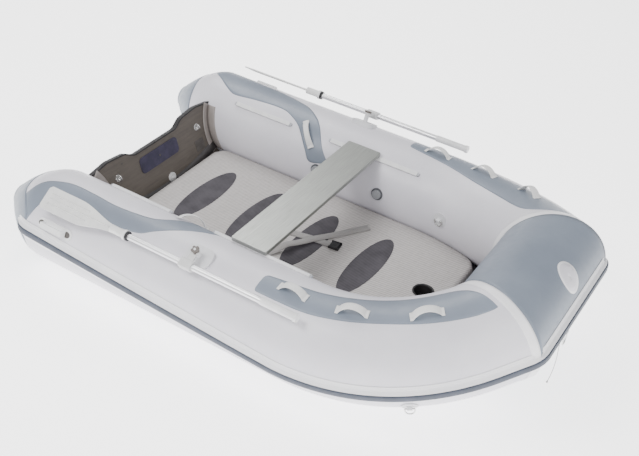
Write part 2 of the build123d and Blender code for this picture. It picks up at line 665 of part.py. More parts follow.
LOCK_LONG, LOCK_WIDE, LOCK_H, LOCK_ROUND = 120.0, 84.0, 12.0, 26.0
POST_R = 11.0
KNOB_R, KNOB_T, KNOB_HUB_R, KNOB_LOBE_R, KNOB_LOBES = 18.0, 9.0, 13.0, 6.0, 5
STACK_GAP = 0.4           # between the faces stacked on the pin
PIN_PROUD = 4.0
DEEP = 25.0               # how far a base is drawn into the tube before the tube is cut away
with BuildPart() as oarlock:
    with BuildSketch(raised(pivot, -PIVOT_LIFT - DEEP)):
        RectangleRounded(LOCK_LONG, LOCK_WIDE, LOCK_ROUND)
    extrude(amount=DEEP + LOCK_H)
    with BuildSketch(raised(pivot, -PIVOT_LIFT)):
        Circle(POST_R)
    extrude(amount=PIVOT_LIFT - LUG_T / 2 - STACK_GAP)
    with BuildSketch(raised(pivot, -PIVOT_LIFT)):
        Circle(PIN_R)
    extrude(amount=PIVOT_LIFT + LUG_T / 2 + STACK_GAP + KNOB_T + PIN_PROUD)
    add(near_core, mode=Mode.SUBTRACT)
save_pair(oarlock.part, "oarlock")

with BuildPart() as knob:
    with BuildSketch(raised(pivot, LUG_T / 2 + STACK_GAP)):
        Circle(KNOB_HUB_R)
        with PolarLocations(KNOB_R - KNOB_LOBE_R, KNOB_LOBES):
            Circle(KNOB_LOBE_R)
        Circle(PIN_R + RUNNING, mode=Mode.SUBTRACT)
    extrude(amount=KNOB_T)
save_pair(knob.part, "oarlock_knob")

# ---------------------------------------------------------------- handles
STRAP_T, STRAP_W = 4.0, 32.0
HANDLE_FOOT = 22.0
HANDLE_RISE = 28.0
BOW_HANDLE_LONG, INNER_HANDLE_LONG = 130.0, 150.0
BOW_HANDLES = (1212.0, 1480.0, 1780.0)
BOW_HANDLE_ANGLE = 82.0
INNER_HANDLE_DROP = 2.0   # the tube falls away under its feet
BOW_HANDLE_GAP = 0.8      # over the fore panel, which curves away along the handle
INNER_HANDLE_AT, INNER_HANDLE_ANGLE, INNER_HANDLE_SPIN = 592.0, 130.0, -52.0


def strap_handle(place, length):
    """Webbing arch on two flat feet."""
    half, inner = length / 2, length / 2 - HANDLE_FOOT
    side_view = edge_on(place)
    middle = Plane(origin=side_view.origin - side_view.z_dir * STRAP_W / 2, x_dir=side_view.x_dir,
                   z_dir=side_view.z_dir)
    with BuildPart() as strap:
        with BuildSketch(middle):
            with BuildLine() as outline:
                Polyline((-inner, 0), (-half, 0), (-half, STRAP_T), (-inner, STRAP_T))
                ThreePointArc((-inner, STRAP_T), (0, HANDLE_RISE + STRAP_T), (inner, STRAP_T))
                Polyline((inner, STRAP_T), (half, STRAP_T), (half, 0), (inner, 0))
                ThreePointArc((inner, 0), (0, HANDLE_RISE), (-inner, 0))
            make_face(outline.edges())
        extrude(amount=STRAP_W)
    return strap.part


with BuildPart() as bow_handles:
    for s in BOW_HANDLES:
        add(strap_handle(on_tube(PORT, s, BOW_HANDLE_ANGLE, PANEL_HI + BOW_HANDLE_GAP), BOW_HANDLE_LONG))
save_both(bow_handles.part, "bow_handles")

inner_lift = PANEL_HI - INNER_HANDLE_DROP
inner_place = on_tube(PORT, INNER_HANDLE_AT, INNER_HANDLE_ANGLE, inner_lift, INNER_HANDLE_SPIN)
save_both(strap_handle(inner_place, INNER_HANDLE_LONG), "inner_handles")

AFT_HANDLE_AT, AFT_HANDLE_ANGLE = 110.0, 28.0
AFT_PAD_LONG, AFT_PAD_WIDE, AFT_PAD_T = 188.0, 48.0, 4.0
AFT_GRIP_LONG, AFT_GRIP_W, AFT_GRIP_RISE, AFT_GRIP_T = 120.0, 24.0, 30.0, 8.0
AFT_LEG = 10.0
aft_place = on_tube(PORT, AFT_HANDLE_AT, AFT_HANDLE_ANGLE)
with BuildPart() as aft_handle:
    with BuildSketch(raised(aft_place, -DEEP)):
        RectangleRounded(AFT_PAD_LONG, AFT_PAD_WIDE, AFT_PAD_WIDE / 2 - 1)
    extrude(amount=DEEP + AFT_PAD_T)
    add(near_core, mode=Mode.SUBTRACT)
    grip_view = edge_on(aft_place)
    with BuildSketch(shifted(grip_view, 0, 0, -AFT_GRIP_W / 2)):
        with Locations((0, AFT_PAD_T)):
            Rectangle(AFT_GRIP_LONG, AFT_GRIP_RISE, align=(Align.CENTER, Align.MIN))
        with Locations((0, AFT_PAD_T)):
            Rectangle(AFT_GRIP_LONG - 2 * AFT_LEG, AFT_GRIP_RISE - AFT_GRIP_T, align=(Align.CENTER, Align.MIN),
                      mode=Mode.SUBTRACT)
    extrude(amount=AFT_GRIP_W)
save_both(aft_handle.part, "aft_handles")

# ---------------------------------------------------------------- valves
VALVE_R, VALVE_T = 30.0, 3.0
NECK_R, NECK_H = 16.0, 7.0
CAP_R, CAP_H, CAP_TOP = 22.0, 10.0, 3.0
TUBE_VALVES = ((PORT, 694.0, 171.0), (PORT, 1034.0, 170.0), (STARBOARD, 1034.0, 170.0))
keel_share = (KEEL_HOLE_AT - VALVE_R - KEEL_NOSE_FROM) / (KEEL_NOSE - KEEL_NOSE_FROM)
keel_top = KEEL_AXIS_Z + KEEL_R - (KEEL_R - KEEL_NOSE_R) * keel_share + FILM_GAP
valve_places = [on_tube(*place) for place in TUBE_VALVES]
valve_places.append(Plane(origin=(X0 + KEEL_HOLE_AT, 0, keel_top)))
valve_places.append(Plane(origin=(X0 + AIR_VALVE_AT[0], AIR_VALVE_AT[1], FLOOR_TOP - AIR_VALVE_DEEP)))
CAP_NAMES = ("port_aft_valve_cap", "port_fore_valve_cap", "starboard_valve_cap", "keel_valve_cap",
             "floor_valve_cap")

with BuildPart() as valve_bodies:
    for place in valve_places:
        on_skin = place.origin.Y ** 2 > KEEL_HOLE_R ** 2 and place.origin.Z > FLOOR_TOP
        flange_r = VALVE_R if on_skin else VALVE_R - 2
        with BuildSketch(raised(place, -DEEP if on_skin else 0)):
            Circle(flange_r)
        extrude(amount=VALVE_T + (DEEP if on_skin else 0))
        with BuildSketch(raised(place, VALVE_T)):
            Circle(NECK_R)
        extrude(amount=NECK_H)
    add(near_core, mode=Mode.SUBTRACT)
    add(far_core, mode=Mode.SUBTRACT)
save(valve_bodies.part, "valve_bodies")

for place, name in zip(valve_places, CAP_NAMES):
    with BuildPart() as cap:
        with BuildSketch(raised(place, VALVE_T + FILM_GAP)):
            Circle(CAP_R)
        extrude(amount=CAP_H)
        with BuildSketch(raised(place, VALVE_T)):
            Circle(NECK_R + RUNNING)
        extrude(amount=NECK_H + FILM_GAP, mode=Mode.SUBTRACT)
    save(cap.part, name)

# ---------------------------------------------------------------- floor strap and buckle
FLOOR_STRAP_W, FLOOR_STRAP_T, STRAP_LIFT = 38.0, 2.5, 0.3
STRAP_RUNS = (((800.0, -4.0), (1050.0, 33.0)), ((800.0, -222.0), (1078.0, 248.0)))
strap_floor = Plane(origin=(X0, 0, FLOOR_TOP + PAD_T + STRAP_LIFT))
with BuildPart() as floor_strap:
    for start, end in STRAP_RUNS:
        run = Vector(end[0] - start[0], end[1] - start[1])
        mid = ((start[0] + end[0]) / 2, (start[1] + end[1]) / 2)
        run_plane = Plane(origin=shifted(strap_floor, *mid).origin, x_dir=(run.X, run.Y, 0), z_dir=(0, 0, 1))
        with BuildSketch(run_plane):
            Rectangle(run.length, FLOOR_STRAP_W)
        extrude(amount=FLOOR_STRAP_T)
save(floor_strap.part, "floor_strap")

BUCKLE_AT, BUCKLE_TURN = (1026.0, 29.0), 8.0
BUCKLE_LONG, BUCKLE_W, BUCKLE_BASE, BUCKLE_CHEEK, BUCKLE_H = 50.0, 50.0, 2.5, 4.0, 11.0
CAM_LONG, CAM_T, CAM_PIN_R, CAM_BACK = 30.0, 5.0, 1.8, 12.0
SIDE_GAP = 0.3
buckle_turned = Vector(cos(radians(BUCKLE_TURN)), sin(radians(BUCKLE_TURN)), 0)
buckle_base_z = PAD_T + STRAP_LIFT + FLOOR_STRAP_T + FILM_GAP
buckle_plane = Plane(origin=(X0 + BUCKLE_AT[0], BUCKLE_AT[1], FLOOR_TOP + buckle_base_z), x_dir=buckle_turned,
                     z_dir=(0, 0, 1))
cam_room = BUCKLE_W - 2 * BUCKLE_CHEEK
cam_axis_h = BUCKLE_H - CAM_T / 2 - 1
cam_view = Plane(origin=shifted(buckle_plane, CAM_BACK, 0, cam_axis_h).origin, x_dir=buckle_plane.x_dir,
                 z_dir=-buckle_plane.y_dir)
with BuildPart() as buckle_frame:
    with BuildSketch(buckle_plane):
        Rectangle(BUCKLE_LONG, BUCKLE_W)
    extrude(amount=BUCKLE_BASE)
    with BuildSketch(raised(buckle_plane, BUCKLE_BASE)):
        with GridLocations(0, BUCKLE_W - BUCKLE_CHEEK, 1, 2):
            Rectangle(BUCKLE_LONG, BUCKLE_CHEEK)
    extrude(amount=BUCKLE_H - BUCKLE_BASE)
    with BuildSketch(shifted(cam_view, 0, 0, -BUCKLE_W / 2 + 1)):
        Circle(CAM_PIN_R)
    extrude(amount=BUCKLE_W - 2)
save(buckle_frame.part, "buckle_frame")

with BuildPart() as buckle_cam:
    with BuildSketch(shifted(cam_view, 0, 0, -(cam_room / 2 - SIDE_GAP))):
        Circle(CAM_T / 2 + 1)
        with Locations((0, 0)):
            Rectangle(CAM_LONG, CAM_T, align=(Align.MAX, Align.CENTER))
        Circle(CAM_PIN_R + RUNNING, mode=Mode.SUBTRACT)
    extrude(amount=cam_room - 2 * SIDE_GAP)
save(buckle_cam.part, "buckle_cam")

# ---------------------------------------------------------------- rings
WIRE_R = 3.0
RING_R = 19.0
RING_PATCH_R, RING_PATCH_T = 34.0, 3.0
BARREL_R, BARREL_HALF, BARREL_LIFT = 6.5, 10.0, 12.0
BOW_RING_LEG = 45.0
TOW_Y, TOW_ANGLE = -30.0, -20.0
RING_PLACES = {"inner_ring": on_tube(PORT, 1415.0, 170.0), "port_tow_ring": on_tube(PORT, 1680.0, -31.0),
               "starboard_tow_ring": on_tube(STARBOARD, 1680.0, -31.0)}
tow_normal = Vector(cos(radians(TOW_ANGLE)), 0, sin(radians(TOW_ANGLE)))
RING_PLACES["bow_tow_ring"] = Plane(origin=Vector(seam.X, TOW_Y, seam.Z) + tow_normal * TUBE_R,
                                    x_dir=(0, 1, 0), z_dir=tow_normal)
ring_cores = {"inner_ring": near_core, "port_tow_ring": near_core, "starboard_tow_ring": far_core,
              "bow_tow_ring": bow_core}


def hang_plane(place):
    """Plane of a ring that hangs from its barrel: x along the barrel, y straight down."""
    down = Vector(0, 0, -1) - place.x_dir * Vector(0, 0, -1).dot(place.x_dir)
    return Plane(origin=place.origin + place.z_dir * BARREL_LIFT, x_dir=place.x_dir,
                 z_dir=place.x_dir.cross(down.normalized()))


with BuildPart() as ring_patches:
    for name, place in RING_PLACES.items():
        with BuildPart(mode=Mode.PRIVATE) as patch:
            with BuildSketch(raised(place, -DEEP)):
                Circle(RING_PATCH_R)
            extrude(amount=DEEP + RING_PATCH_T)
            add(ring_cores[name], mode=Mode.SUBTRACT)
            barrel_side = Plane(origin=shifted(place, -BARREL_HALF, 0).origin, x_dir=place.y_dir,
                                z_dir=place.x_dir)
            with BuildSketch(barrel_side):
                with Locations((0, BARREL_LIFT)):
                    Circle(BARREL_R)
                with Locations((0, BARREL_LIFT / 2)):
                    Rectangle(2 * BARREL_R, BARREL_LIFT)
                with Locations((0, BARREL_LIFT)):
                    Circle(WIRE_R + RUNNING, mode=Mode.SUBTRACT)
            extrude(amount=2 * BARREL_HALF)
        add(patch.part)
save(ring_patches.part, "ring_patches")


def ring_solid(place, leg):
    """Closed ring: a bar through the barrel, two legs and a half round."""
    hang = hang_plane(place)
    across, down = hang.x_dir, hang.y_dir
    with BuildPart() as ring:
        bar = Plane(origin=hang.origin - across * RING_R, x_dir=down, z_dir=across)
        with BuildSketch(bar):
            Circle(WIRE_R)
        extrude(amount=2 * RING_R)
        for end in (-RING_R, RING_R):
            corner = hang.origin + across * end
            with Locations(corner):
                Sphere(WIRE_R)
            with BuildSketch(Plane(origin=corner, x_dir=across, z_dir=down)):
                Circle(WIRE_R)
            extrude(amount=leg)
        bend_from = hang.origin + across * RING_R + down * leg
        with BuildSketch(Plane(origin=bend_from, x_dir=across, z_dir=down)):
            Circle(WIRE_R)
        revolve(axis=Axis(hang.origin + down * leg, hang.z_dir), revolution_arc=180)
    return ring.part


for name, place in RING_PLACES.items():
    save(ring_solid(place, BOW_RING_LEG if name == "bow_tow_ring" else 8.0), name)

# ---------------------------------------------------------------- short line at the bow
LINE_R = 1.5
KNOT_R = 4.5
tow_place = RING_PLACES["bow_tow_ring"]
tow_down = Vector(sin(radians(TOW_ANGLE)), 0, -cos(radians(TOW_ANGLE)))
line_start = tow_place.origin + tow_place.z_dir * (BARREL_LIFT / 2) + tow_down * BARREL_R
line_steps = [tow_down * 14, (-1, -3, -26), (3, -6, -46), (5, -5, -56), (-2, 2, -55), (-4, 1, -45), (-4, -4, -26)]
line_points = [line_start]
for step in line_steps:
    line_points.append(line_points[-1] + Vector(*step))
line_radii = []
for a, b, c in zip(line_points, line_points[1:], line_points[2:]):
    half_turn = radians((b - a).get_angle(c - b)) / 2
    line_radii.append(0.45 * min((b - a).length, (c - b).length) / tan(half_turn))
print("line radii", [round(r) for r in line_radii])
with BuildPart() as bow_line:
    with BuildLine() as line_route:
        FilletPolyline(*line_points, radius=line_radii)
    with BuildSketch(Plane(origin=line_points[0], z_dir=line_points[1] - line_points[0])):
        Circle(LINE_R)
    sweep(path=line_route.wire())
save(bow_line.part, "bow_line")
print("line volume share", bow_line.part.volume / (pi * LINE_R ** 2 * line_route.wire().length))
print("line length", line_route.wire().length)

line_end = line_points[-1]
with BuildPart() as line_knot:
    knot_dir = (line_points[-1] - line_points[-2]).normalized()
    with BuildSketch(Plane(origin=line_end, z_dir=knot_dir)):
        Circle(LINE_R + 1)
    extrude(amount=2 * KNOT_R, taper=-12)
save(line_knot.part, "bow_line_knot")
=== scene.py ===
import math
import bpy
from mathutils import Matrix, Vector


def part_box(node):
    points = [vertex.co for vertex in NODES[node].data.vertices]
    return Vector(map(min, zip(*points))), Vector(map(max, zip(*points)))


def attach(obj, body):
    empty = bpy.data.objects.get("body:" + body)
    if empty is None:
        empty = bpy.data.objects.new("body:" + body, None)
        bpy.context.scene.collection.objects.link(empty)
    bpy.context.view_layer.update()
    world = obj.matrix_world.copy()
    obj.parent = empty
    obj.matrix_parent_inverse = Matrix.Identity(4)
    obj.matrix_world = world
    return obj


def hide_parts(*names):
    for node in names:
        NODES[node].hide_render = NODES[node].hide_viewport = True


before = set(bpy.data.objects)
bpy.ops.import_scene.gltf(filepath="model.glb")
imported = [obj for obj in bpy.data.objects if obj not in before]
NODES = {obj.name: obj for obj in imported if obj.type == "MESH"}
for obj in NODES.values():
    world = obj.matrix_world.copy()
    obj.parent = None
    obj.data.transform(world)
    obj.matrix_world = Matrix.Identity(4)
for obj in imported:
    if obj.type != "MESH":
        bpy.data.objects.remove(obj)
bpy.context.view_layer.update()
MM = 0.001

# ---------------------------------------------------------------- sizes, metres and degrees
TUBE_R = 0.210
BEND_R = 0.830
BEND_TURN = 49.4
SHEER = 24.8
STRAIGHT = 1.240
STUB = 0.082
PAD_T = 0.0015
STRAKE_BOW = 16.0
AXIS_Z = TUBE_R
TUBE_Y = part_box("port_stern_cone")[1][1] - TUBE_R
X0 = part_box("air_floor")[0][0] - 0.118
FLOOR_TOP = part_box("air_floor")[1][2]
FLOOR_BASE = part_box("air_floor")[0][2]
FLOOR_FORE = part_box("air_floor")[1][0]
PORT, STARBOARD = 1, -1
SIDES = {"port": PORT, "starboard": STARBOARD}

tilt, turn = math.radians(SHEER), math.radians(BEND_TURN)
out_dir = Vector((0, math.cos(tilt), -math.sin(tilt)))
up_dir = Vector((0, math.sin(tilt), math.cos(tilt)))
bend_centre = Vector((X0 + STRAIGHT, TUBE_Y, AXIS_Z)) - out_dir * BEND_R
end_along = Vector((math.cos(turn), 0, 0)) - out_dir * math.sin(turn)
bend_end = bend_centre + (Vector((math.sin(turn), 0, 0)) + out_dir * math.cos(turn)) * BEND_R
seam = bend_end + end_along * STUB
mitre_dir = (end_along + Vector((0, -1, 0))).normalized()
BEND_S = STRAIGHT + BEND_R * turn
BOW_STRAKE = 6.7
CONE_FROM, CONE_TO, CONE_END = -0.040, -0.280, -0.299
CONE_TIP_R = 0.060
WELL_X, WELL_R = 1.494, 0.042
PAD_PLACES = (0.313, 0.608, 0.908, 1.205)
PAD_HALF = (0.066, 0.230)
# The gap beside the deck is widened so that the darker hull bottom shows in it as painted shade.
DECK_GAP = 0.005
OAR_ANGLE, OAR_LIFT = 55.4, 0.050
RAIL_ANGLE = 127
RAIL_ENDS = (0.155, 0.485, 0.715, 1.195)
BOW_HANDLE_PLACES = (1.212, 1.480, 1.780)
HANDLE_ANGLE, BOW_HANDLE_LONG = 82, 0.130
INNER_HANDLE_AT, INNER_HANDLE_ANGLE, INNER_HANDLE_SPIN, INNER_HANDLE_LONG = 0.592, 130, 52, 0.150
GRAB_AT, GRAB_ANGLE = 0.110, 28
GRAB_CUPS = (-0.074, 0.068)


# ---------------------------------------------------------------- the hull's shape
def route(s):
    """Point and direction on the port tube's axis, s forward of the transom's top edge."""
    if s <= STRAIGHT:
        return Vector((X0 + s, TUBE_Y, AXIS_Z)), Vector((1, 0, 0))
    a = min((s - STRAIGHT) / BEND_R, turn)
    along = Vector((math.cos(a), 0, 0)) - out_dir * math.sin(a)
    point = bend_centre + (Vector((math.sin(a), 0, 0)) + out_dir * math.cos(a)) * BEND_R
    return point + along * (s - STRAIGHT - BEND_R * a), along


def tube_radius(s):
    """The stern cone narrows slowly at first and then faster."""
    if s >= CONE_FROM:
        return TUBE_R
    share = min((CONE_FROM - s) / (CONE_FROM - CONE_TO), 1)
    r = TUBE_R - (TUBE_R - CONE_TIP_R) * share ** 1.6
    if s < CONE_TO:
        r *= math.sqrt(max(0.0, 1 - ((CONE_TO - s) / (CONE_TO - CONE_END)) ** 2))
    return r


def section(s):
    """Axis point, direction, outboard and upward directions of the port tube."""
    point, along = route(s)
    outboard = Vector((0, 0, 1)).cross(along).normalized()
    return point, along, outboard, along.cross(outboard)


def on_tube(side, s, angle, lift=0.0):
    """Point on the skin and its normal; angle 0 outboard, 90 on top, 180 inboard."""
    point, along, outboard, above = section(s)
    a = math.radians(angle)
    normal = outboard * math.cos(a) + above * math.sin(a)
    place = point + normal * (tube_radius(s) + lift)
    limit = (seam - place).dot(mitre_dir)
    if s > BEND_S and limit < 0:
        place += along * limit / along.dot(mitre_dir)
    if side == STARBOARD:
        place.y, normal.y = -place.y, -normal.y
    return place, normal


def on_bow(share, angle, lift=0.0):
    """Point on the bow tube; share runs from -1 at the starboard seam to 1 at the port seam."""
    a = math.radians(angle)
    normal = Vector((math.cos(a), 0, math.sin(a)))
    place = Vector((seam.x, 0, seam.z)) + normal * (TUBE_R + lift)
    reach = seam.y - (place - Vector((seam.x, 0, seam.z))).dot(mitre_dir) / mitre_dir.y
    place.y = share * reach
    return place, normal


def tube_frame(side, s, angle, lift=0.0):
    """Matrix on the skin: x along the tube, y towards greater angles, z off the skin."""
    place, normal = on_tube(side, s, angle, lift)
    along = route(s)[1].copy()
    if side == STARBOARD:
        along.y = -along.y
    across = along.cross(normal) if side == PORT else normal.cross(along)
    m = Matrix((along, across, normal)).transposed().to_4x4()
    m.translation = place
    return m


def smooth(points, x):
    """Height at x of a smooth curve through the points."""
    if x <= points[0][0]:
        return points[0][1]
    for k in range(len(points) - 1):
        (x0, y0), (x1, y1) = points[k], points[k + 1]
        if x <= x1:
            before = points[max(k - 1, 0)]
            after = points[min(k + 2, len(points) - 1)]
            m0 = (y1 - before[1]) / (x1 - before[0])
            m1 = (after[1] - y0) / (after[0] - x0)
            h, t = x1 - x0, (x - x0) / (x1 - x0)
            return ((2 * t ** 3 - 3 * t * t + 1) * y0 + (t ** 3 - 2 * t * t + t) * h * m0
                    + (3 * t * t - 2 * t ** 3) * y1 + (t ** 3 - t * t) * h * m1)
    return points[-1][1]


def spread(low, high, count):
    return [low + (high - low) * k / (count - 1) for k in range(count)]


# ---------------------------------------------------------------- mesh builders
def mesh_piece(name, verts, faces, uvs, material, body, smooth_faces=True):
    """A mesh object that rides on a body; uvs are in metres, one for each vertex."""
    mesh = bpy.data.meshes.new(name)
    mesh.from_pydata([tuple(v) for v in verts], [], faces)
    mesh.update()
    layer = mesh.uv_layers.new(name="UVMap")
    for loop in mesh.loops:
        layer.data[loop.index].uv = uvs[loop.vertex_index]
    for face in mesh.polygons:
        face.use_smooth = smooth_faces
    piece = bpy.data.objects.new(name, mesh)
    bpy.context.scene.collection.objects.link(piece)
    piece.data.materials.append(material)
    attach(piece, body)
    return piece


def rows_piece(name, rows, material, body, closed=False, caps=False, flip=False):
    """Grid of points in rows; closed joins the end of each row to its start."""
    verts, uvs, faces = [], [], []
    width = len(rows[0])
    run = 0.0
    for r, row in enumerate(rows):
        if r:
            run += (row[0] - rows[r - 1][0]).length
        across = 0.0
        for c, point in enumerate(row):
            if c:
                across += (point - row[c - 1]).length
            verts.append(point)
            uvs.append((run, across))
    for r in range(len(rows) - 1):
        for c in range(width if closed else width - 1):
            d = (c + 1) % width
            quad = (r * width + c, r * width + d, (r + 1) * width + d, (r + 1) * width + c)
            faces.append(quad[::-1] if flip else quad)
    if caps:
        first, last = tuple(range(width)), tuple((len(rows) - 1) * width + c for c in range(width))
        faces.append(first if flip else first[::-1])
        faces.append(last[::-1] if flip else last)
    return mesh_piece(name, verts, faces, uvs, material, body)


def thicken(piece, depth, offset=1.0):
    solid = piece.modifiers.new("thickness", "SOLIDIFY")
    solid.thickness = depth
    solid.offset = offset
    return piece


def soften(piece, width, segments=2):
    bevel = piece.modifiers.new("edges", "BEVEL")
    bevel.width = width
    bevel.segments = segments
    bevel.limit_method = "ANGLE"
    bevel.angle_limit = math.radians(40)
    return piece


def outline_piece(name, points, place, height, material, body, base=0.0, edge=0.0):
    """Flat plate: outline in x and y of the matrix place, drawn up from base to base + height."""
    count = len(points)
    low = [place @ Vector((x, y, base)) for x, y in points]
    top = [place @ Vector((x, y, base + height)) for x, y in points]
    faces = [tuple(range(count))[::-1], tuple(range(count, 2 * count))]
    faces += [(k, (k + 1) % count, (k + 1) % count + count, k + count) for k in range(count)]
    piece = mesh_piece(name, low + top, faces, [(x, y) for x, y in points] * 2, material, body, False)
    if edge:
        soften(piece, edge)
    return piece


def oval(half_x, half_y, count=40, power=2.0):
    points = []
    for k in range(count):
        a = 2 * math.pi * k / count
        c, s = math.cos(a), math.sin(a)
        points.append((half_x * math.copysign(abs(c) ** (2 / power), c),
                       half_y * math.copysign(abs(s) ** (2 / power), s)))
    return points


# ---------------------------------------------------------------- materials
def paint(hexes):
    """sRGB hex to linear colour."""
    parts = [int(hexes[k:k + 2], 16) / 255 for k in (1, 3, 5)]
    return tuple(p / 12.92 if p <= 0.04045 else ((p + 0.055) / 1.055) ** 2.4 for p in parts) + (1.0,)


def add(tree, kind, inputs=None, **settings):
    """Adds a node with its settings; inputs are values or other nodes' outputs."""
    made = tree.nodes.new(kind)
    for key, value in settings.items():
        setattr(made, key, value)
    for key, value in (inputs or {}).items():
        if isinstance(value, bpy.types.NodeSocket):
            tree.links.new(value, made.inputs[key])
        else:
            made.inputs[key].default_value = value
    return made


def start(name, **fixed):
    """Material with its shader; fixed values go on the shader's own sockets."""
    material = bpy.data.materials.new(name)
    material.use_nodes = True
    tree = material.node_tree
    shader = tree.nodes["Principled BSDF"]
    for key, value in fixed.items():
        shader.inputs[key.replace("_", " ")].default_value = value
    return material, tree, shader


def mottled(tree, coords, light, dark, scale):
    """Slow change between two close colours."""
    cloud = add(tree, "ShaderNodeTexNoise", {"Vector": coords, "Scale": scale, "Detail": 4.0,
                                             "Roughness": 0.6})
    ramp = add(tree, "ShaderNodeMapRange", {"Value": cloud.outputs["Fac"], "From Min": 0.35,
                                            "From Max": 0.65})
    return add(tree, "ShaderNodeMix", {"Factor": ramp.outputs["Result"], "A": paint(light),
                                       "B": paint(dark)},
               data_type="RGBA").outputs["Result"]


def coated_cloth(name, light, dark, thread=2.2 * MM, rough=0.42):
    """PVC-coated polyester: smooth satin film over a faint woven base; the threads are drawn at twice
    their real spacing so that they show."""
    material, tree, shader = start(name, IOR=1.53, Coat_Weight=0.12, Coat_Roughness=0.3)
    uv = add(tree, "ShaderNodeUVMap", uv_map="UVMap").outputs["UV"]
    where = add(tree, "ShaderNodeTexCoord").outputs["Object"]
    tree.links.new(mottled(tree, where, light, dark, 3.0), shader.inputs["Base Color"])
    weft = add(tree, "ShaderNodeTexWave", {"Vector": uv, "Scale": 1 / (thread * 6.283), "Distortion": 0.3},
               bands_direction="X")
    warp = add(tree, "ShaderNodeTexWave", {"Vector": uv, "Scale": 1 / (thread * 6.283), "Distortion": 0.3},
               bands_direction="Y")
    weave = add(tree, "ShaderNodeMath", {0: weft.outputs["Fac"], 1: warp.outputs["Fac"]}, operation="ADD")
    slack = add(tree, "ShaderNodeTexNoise", {"Vector": where, "Scale": 9.0, "Detail": 3.0})
    both = add(tree, "ShaderNodeMath", {0: weave.outputs[0], 1: 0.10, 2: slack.outputs["Fac"]},
               operation="MULTIPLY_ADD")
    bump = add(tree, "ShaderNodeBump", {"Height": both.outputs[0], "Strength": 0.25, "Distance": 1.2 * MM})
    tree.links.new(bump.outputs["Normal"], shader.inputs["Normal"])
    wear = add(tree, "ShaderNodeTexNoise", {"Vector": where, "Scale": 40.0, "Detail": 5.0})
    gloss = add(tree, "ShaderNodeMapRange", {"Value": wear.outputs["Fac"], "From Min": 0.3, "From Max": 0.7,
                                             "To Min": rough - 0.05, "To Max": rough + 0.08})
    tree.links.new(gloss.outputs["Result"], shader.inputs["Roughness"])
    return material


def dropstitch_cloth(name, light, dark, rib=11.0 * MM):
    """Drop-stitch deck cloth: embossed in fine slanting ribs crossed by rows of stitches."""
    material, tree, shader = start(name, IOR=1.5, Roughness=0.62)
    where = add(tree, "ShaderNodeTexCoord").outputs["Object"]
    slant = add(tree, "ShaderNodeMapping", {"Vector": where, "Rotation": (0, 0, math.radians(28))})
    ribs = add(tree, "ShaderNodeTexWave", {"Vector": slant.outputs["Vector"], "Scale": 1 / (rib * 3.1416),
                                           "Distortion": 1.2, "Detail": 2.0, "Detail Scale": 3.0})
    stitches = add(tree, "ShaderNodeTexVoronoi", {"Vector": where, "Scale": 0.5 / rib, "Randomness": 0.35})
    mix = add(tree, "ShaderNodeMath", {0: stitches.outputs["Distance"], 1: 0.5, 2: ribs.outputs["Fac"]},
              operation="MULTIPLY_ADD")
    shade = add(tree, "ShaderNodeMapRange", {"Value": mix.outputs[0], "From Min": 0.0, "From Max": 1.3})
    base = add(tree, "ShaderNodeMix", {"Factor": shade.outputs["Result"], "A": paint(dark),
                                       "B": paint(light)},
               data_type="RGBA")
    tree.links.new(base.outputs["Result"], shader.inputs["Base Color"])
    bump = add(tree, "ShaderNodeBump", {"Height": mix.outputs[0], "Strength": 0.35, "Distance": 0.8 * MM})
    tree.links.new(bump.outputs["Normal"], shader.inputs["Normal"])
    return material


def grooved_foam(name, light, dark, groove=9.0 * MM):
    """EVA foam sheet, moulded with slanting grooves; matt and slightly dusty, with painted shade darkening
    the grooves.
    """
    material, tree, shader = start(name, IOR=1.45, Roughness=0.8)
    where = add(tree, "ShaderNodeTexCoord").outputs["Object"]
    slant = add(tree, "ShaderNodeMapping", {"Vector": where, "Rotation": (0, 0, math.radians(28))})
    lines = add(tree, "ShaderNodeTexWave", {"Vector": slant.outputs["Vector"],
                                            "Scale": 1 / (groove * 3.1416),
                                            "Distortion": 0.4}, wave_profile="TRI")
    dust = add(tree, "ShaderNodeTexNoise", {"Vector": where, "Scale": 14.0, "Detail": 6.0})
    # The colour follows the groove profile: painted shade in the grooves, with random dust noise on top.
    mix = add(tree, "ShaderNodeMath", {0: lines.outputs["Fac"], 1: 0.5, 2: dust.outputs["Fac"]},
              operation="MULTIPLY_ADD")
    shade = add(tree, "ShaderNodeMapRange", {"Value": mix.outputs[0], "From Min": 0.35, "From Max": 0.95})
    base = add(tree, "ShaderNodeMix", {"Factor": shade.outputs["Result"], "A": paint(dark),
                                       "B": paint(light)},
               data_type="RGBA")
    tree.links.new(base.outputs["Result"], shader.inputs["Base Color"])
    bump = add(tree, "ShaderNodeBump", {"Height": lines.outputs["Fac"], "Strength": 0.6,
                                        "Distance": 0.8 * MM})
    tree.links.new(bump.outputs["Normal"], shader.inputs["Normal"])
    return material


def moulded(name, light, dark, grain=1.5 * MM, rough=0.45, metallic=0.0, depth=0.15):
    """Injection-moulded plastic or rubber: fine spark-eroded grain and faint flow marks."""
    material, tree, shader = start(name, IOR=1.5, Metallic=metallic)
    where = add(tree, "ShaderNodeTexCoord").outputs["Object"]
    tree.links.new(mottled(tree, where, light, dark, 18.0), shader.inputs["Base Color"])
    pores = add(tree, "ShaderNodeTexNoise", {"Vector": where, "Scale": 1 / grain, "Detail": 3.0})
    bump = add(tree, "ShaderNodeBump", {"Height": pores.outputs["Fac"], "Strength": depth,
                                        "Distance": 0.3 * MM})
    tree.links.new(bump.outputs["Normal"], shader.inputs["Normal"])
    gloss = add(tree, "ShaderNodeMapRange", {"Value": pores.outputs["Fac"], "From Min": 0.3, "From Max": 0.7,
                                             "To Min": rough - 0.06, "To Max": rough + 0.1})
    tree.links.new(gloss.outputs["Result"], shader.inputs["Roughness"])
    return material


